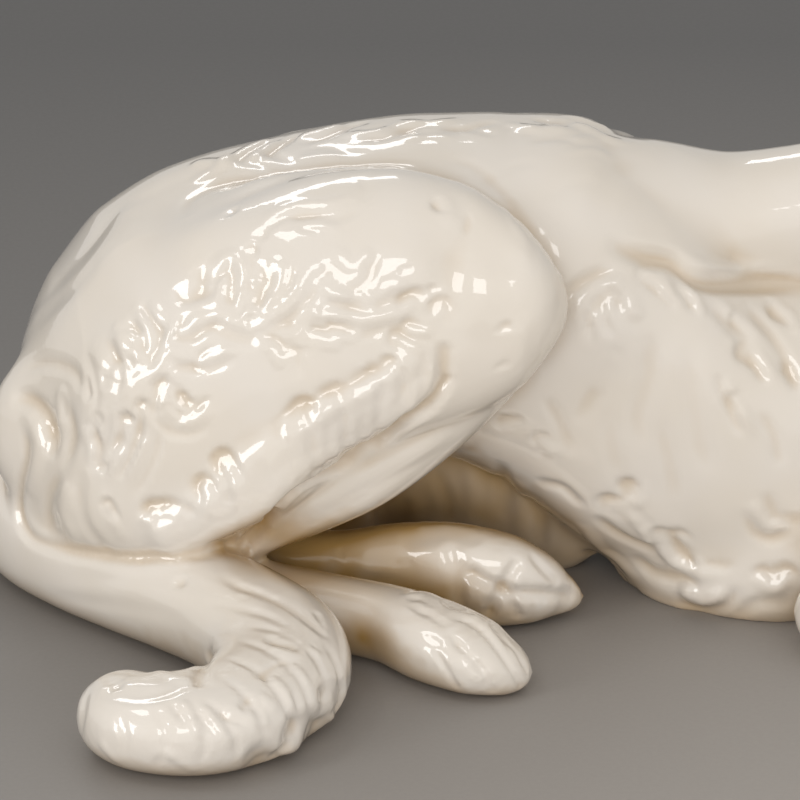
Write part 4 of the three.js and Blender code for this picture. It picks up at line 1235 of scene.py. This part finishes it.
corners_of_face = np.empty(len(clay.data.loops), np.int32)
clay.data.loops.foreach_get("vertex_index", corners_of_face)
corners_of_face = corners_of_face.reshape(-1, 3)
node_of_face = node_of_corner[corners_of_face].max(1)
finished = np.clip((skin.places + FIGURE_TO_FRAME) * MM, *cad_box)
glaze = glazed_porcelain()
for number, node in enumerate(nodes):
    faces = corners_of_face[node_of_face == number]
    kept, faces = np.unique(faces, return_inverse=True)
    faces = faces.reshape(-1, 3)
    piece = mesh_object(node + "_glazed", finished[kept].tolist(), faces.tolist())
    mesh = piece.data
    # Each piece carries the painted shade of its hollows and the tint of its grooves
    for attribute, values in (("painted_hollow_shade", painted_hollow_shade), ("groove_glaze_and_shade", groove_glaze_and_shade)):
        layer = mesh.attributes.new(attribute, "FLOAT", "POINT")
        layer.data.foreach_set("value", values[kept].astype(np.float32))
    cap(mesh, (finished[kept] - skin.normals[kept] * SEAM_DEPTH * MM).tolist())
    mesh.shade_smooth()
    # The piece shades as the whole skin did, and its lids, which come after the skin's faces, shade flat
    skin_corners = np.array([mesh.loops[loop].vertex_index for loop in range(faces.size)])
    lids = [tuple(face.normal) for face in mesh.polygons[len(faces):] for _ in face.loop_indices]
    shown = np.vstack([skin.normals[kept][skin_corners], np.array(lids).reshape(-1, 3)])
    mesh.normals_split_custom_set(shown.tolist())
    mesh.materials.append(glaze)
    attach(piece, "root")
    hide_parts(node)
bpy.data.objects.remove(clay)

TABLE_HALF, TABLE_CORNERS = 3.0, 13  # m, and corners along each of its sides
TABLE_NEAR, TABLE_FAR = -0.09, 0.33  # m in depth between which painted shade darkens the table
TABLE_RIGHT, TABLE_LEFT = 0.02, -0.16  # m across between which a painted shadow darkens its left side
# The table's grey near by, the painted shade it darkens to far off and on its left, and the grey of its grain
NEAR_GREY, FAR_PAINTED_SHADE = (0.385, 0.357, 0.331, 1), (0.118, 0.116, 0.115, 1)
LEFT_PAINTED_SHADE, GRAIN_GREY = (0.09, 0.088, 0.085, 1), (0.12, 0.115, 0.11, 1)


def grey_table():
    """A wide grey table top, with painted shade that darkens it towards its far side and a painted shadow towards its
    left.
    """
    across = np.linspace(-TABLE_HALF, TABLE_HALF, TABLE_CORNERS)
    corners = [(x, y, 0.0) for y in across for x in across]
    faces = [(k, k + 1, k + 1 + TABLE_CORNERS, k + TABLE_CORNERS)
             for k in range(len(corners) - TABLE_CORNERS) if k % TABLE_CORNERS < TABLE_CORNERS - 1]
    table = mesh_object("grey_table", corners, faces)
    g = Glazing("grey_table_top")
    where = g.node("ShaderNodeTexCoord", {}, {}, out=3)
    side, depth = (g.node("ShaderNodeSeparateXYZ", {}, {"Vector": where}, out) for out in (0, 1))
    far = g.node("ShaderNodeMapRange", {}, {"Value": depth, "From Min": TABLE_NEAR, "From Max": TABLE_FAR})
    left = g.node("ShaderNodeMapRange", {}, {"Value": side, "From Min": TABLE_RIGHT, "From Max": TABLE_LEFT})
    grain = g.node("ShaderNodeTexNoise", {}, {"Vector": where, "Scale": 900.0, "Detail": 1.0})
    # Painted shade: darker towards the far side
    tone = g.mix(far, NEAR_GREY, FAR_PAINTED_SHADE)
    # Painted shadow: darker towards the left
    tone = g.mix(left * 0.42, tone, LEFT_PAINTED_SHADE)
    tone = g.mix(grain * 0.06, tone, GRAIN_GREY)
    table.data.materials.append(g.finish(Base_Color=tone, Roughness=0.55 + 0.1 * grain))


grey_table()
LIT_PLACE = Vector((-0.055, 0.0, 0.05))  # where the lamps are aimed


def softbox(name, way, distance, size, watts):
    """A rectangular lamp, at an azimuth and elevation and aimed at the figure."""
    data = bpy.data.lights.new(name, "AREA")
    data.shape = "RECTANGLE"
    data.size, data.size_y = size
    data.energy = watts
    lamp = new_object(name, data)
    to_lamp = Vector(towards(*way))
    lamp.location = LIT_PLACE + to_lamp * distance
    lamp.rotation_euler = to_lamp.to_track_quat("Z", "Y").to_euler()
    return lamp


softbox("key_softbox", KEY, distance=1.3, size=(0.4, 0.38), watts=1.4)
softbox("high_left_softbox", HIGH_LEFT, distance=1.2, size=(0.28, 0.24), watts=0.7)
softbox("left_softbox", LEFT, distance=1.2, size=(0.3, 0.54), watts=2.2)
softbox("behind_softbox", BEHIND, distance=1.2, size=(0.5, 0.16), watts=0.9)
front_fill = softbox("front_fill", (6, 0), distance=2.0, size=(3.0, 1.4), watts=35)
front_fill.visible_glossy = False
world = bpy.data.worlds.new("studio")
bpy.context.scene.world = world
world.use_nodes = True
background = world.node_tree.nodes["Background"].inputs
background["Color"].default_value = (1, 0.98, 0.95, 1)
background["Strength"].default_value = 0.6

CAMERA_DISTANCE = 2.4  # m
SENSOR = 36  # mm
SCALE_PLANE = 50  # mm in front of the withers, where the picture's scale holds
camera_data = bpy.data.cameras.new("camera")
camera = new_object("camera", camera_data)
to_camera = Vector(towards(0, ELEVATION))
picture_up = Vector((0, SIN_E, COS_E))
middle = PICTURE / 2
aim_mm = (Vector((middle - WITHERS_PIXEL[0], 0, 0)) + picture_up * (WITHERS_PIXEL[1] - middle)) / PIXELS_PER_MM
aim = (aim_mm + Vector(FIGURE_TO_FRAME) + to_camera * SCALE_PLANE) * MM
camera.location = aim + to_camera * CAMERA_DISTANCE
camera.rotation_euler = to_camera.to_track_quat("Z", "Y").to_euler()
camera_data.sensor_width = SENSOR
camera_data.lens = SENSOR * CAMERA_DISTANCE / (PICTURE / PIXELS_PER_MM * MM)
camera_data.clip_end = 20
bpy.context.scene.camera = camera
bpy.context.scene.view_settings.view_transform = "Standard"
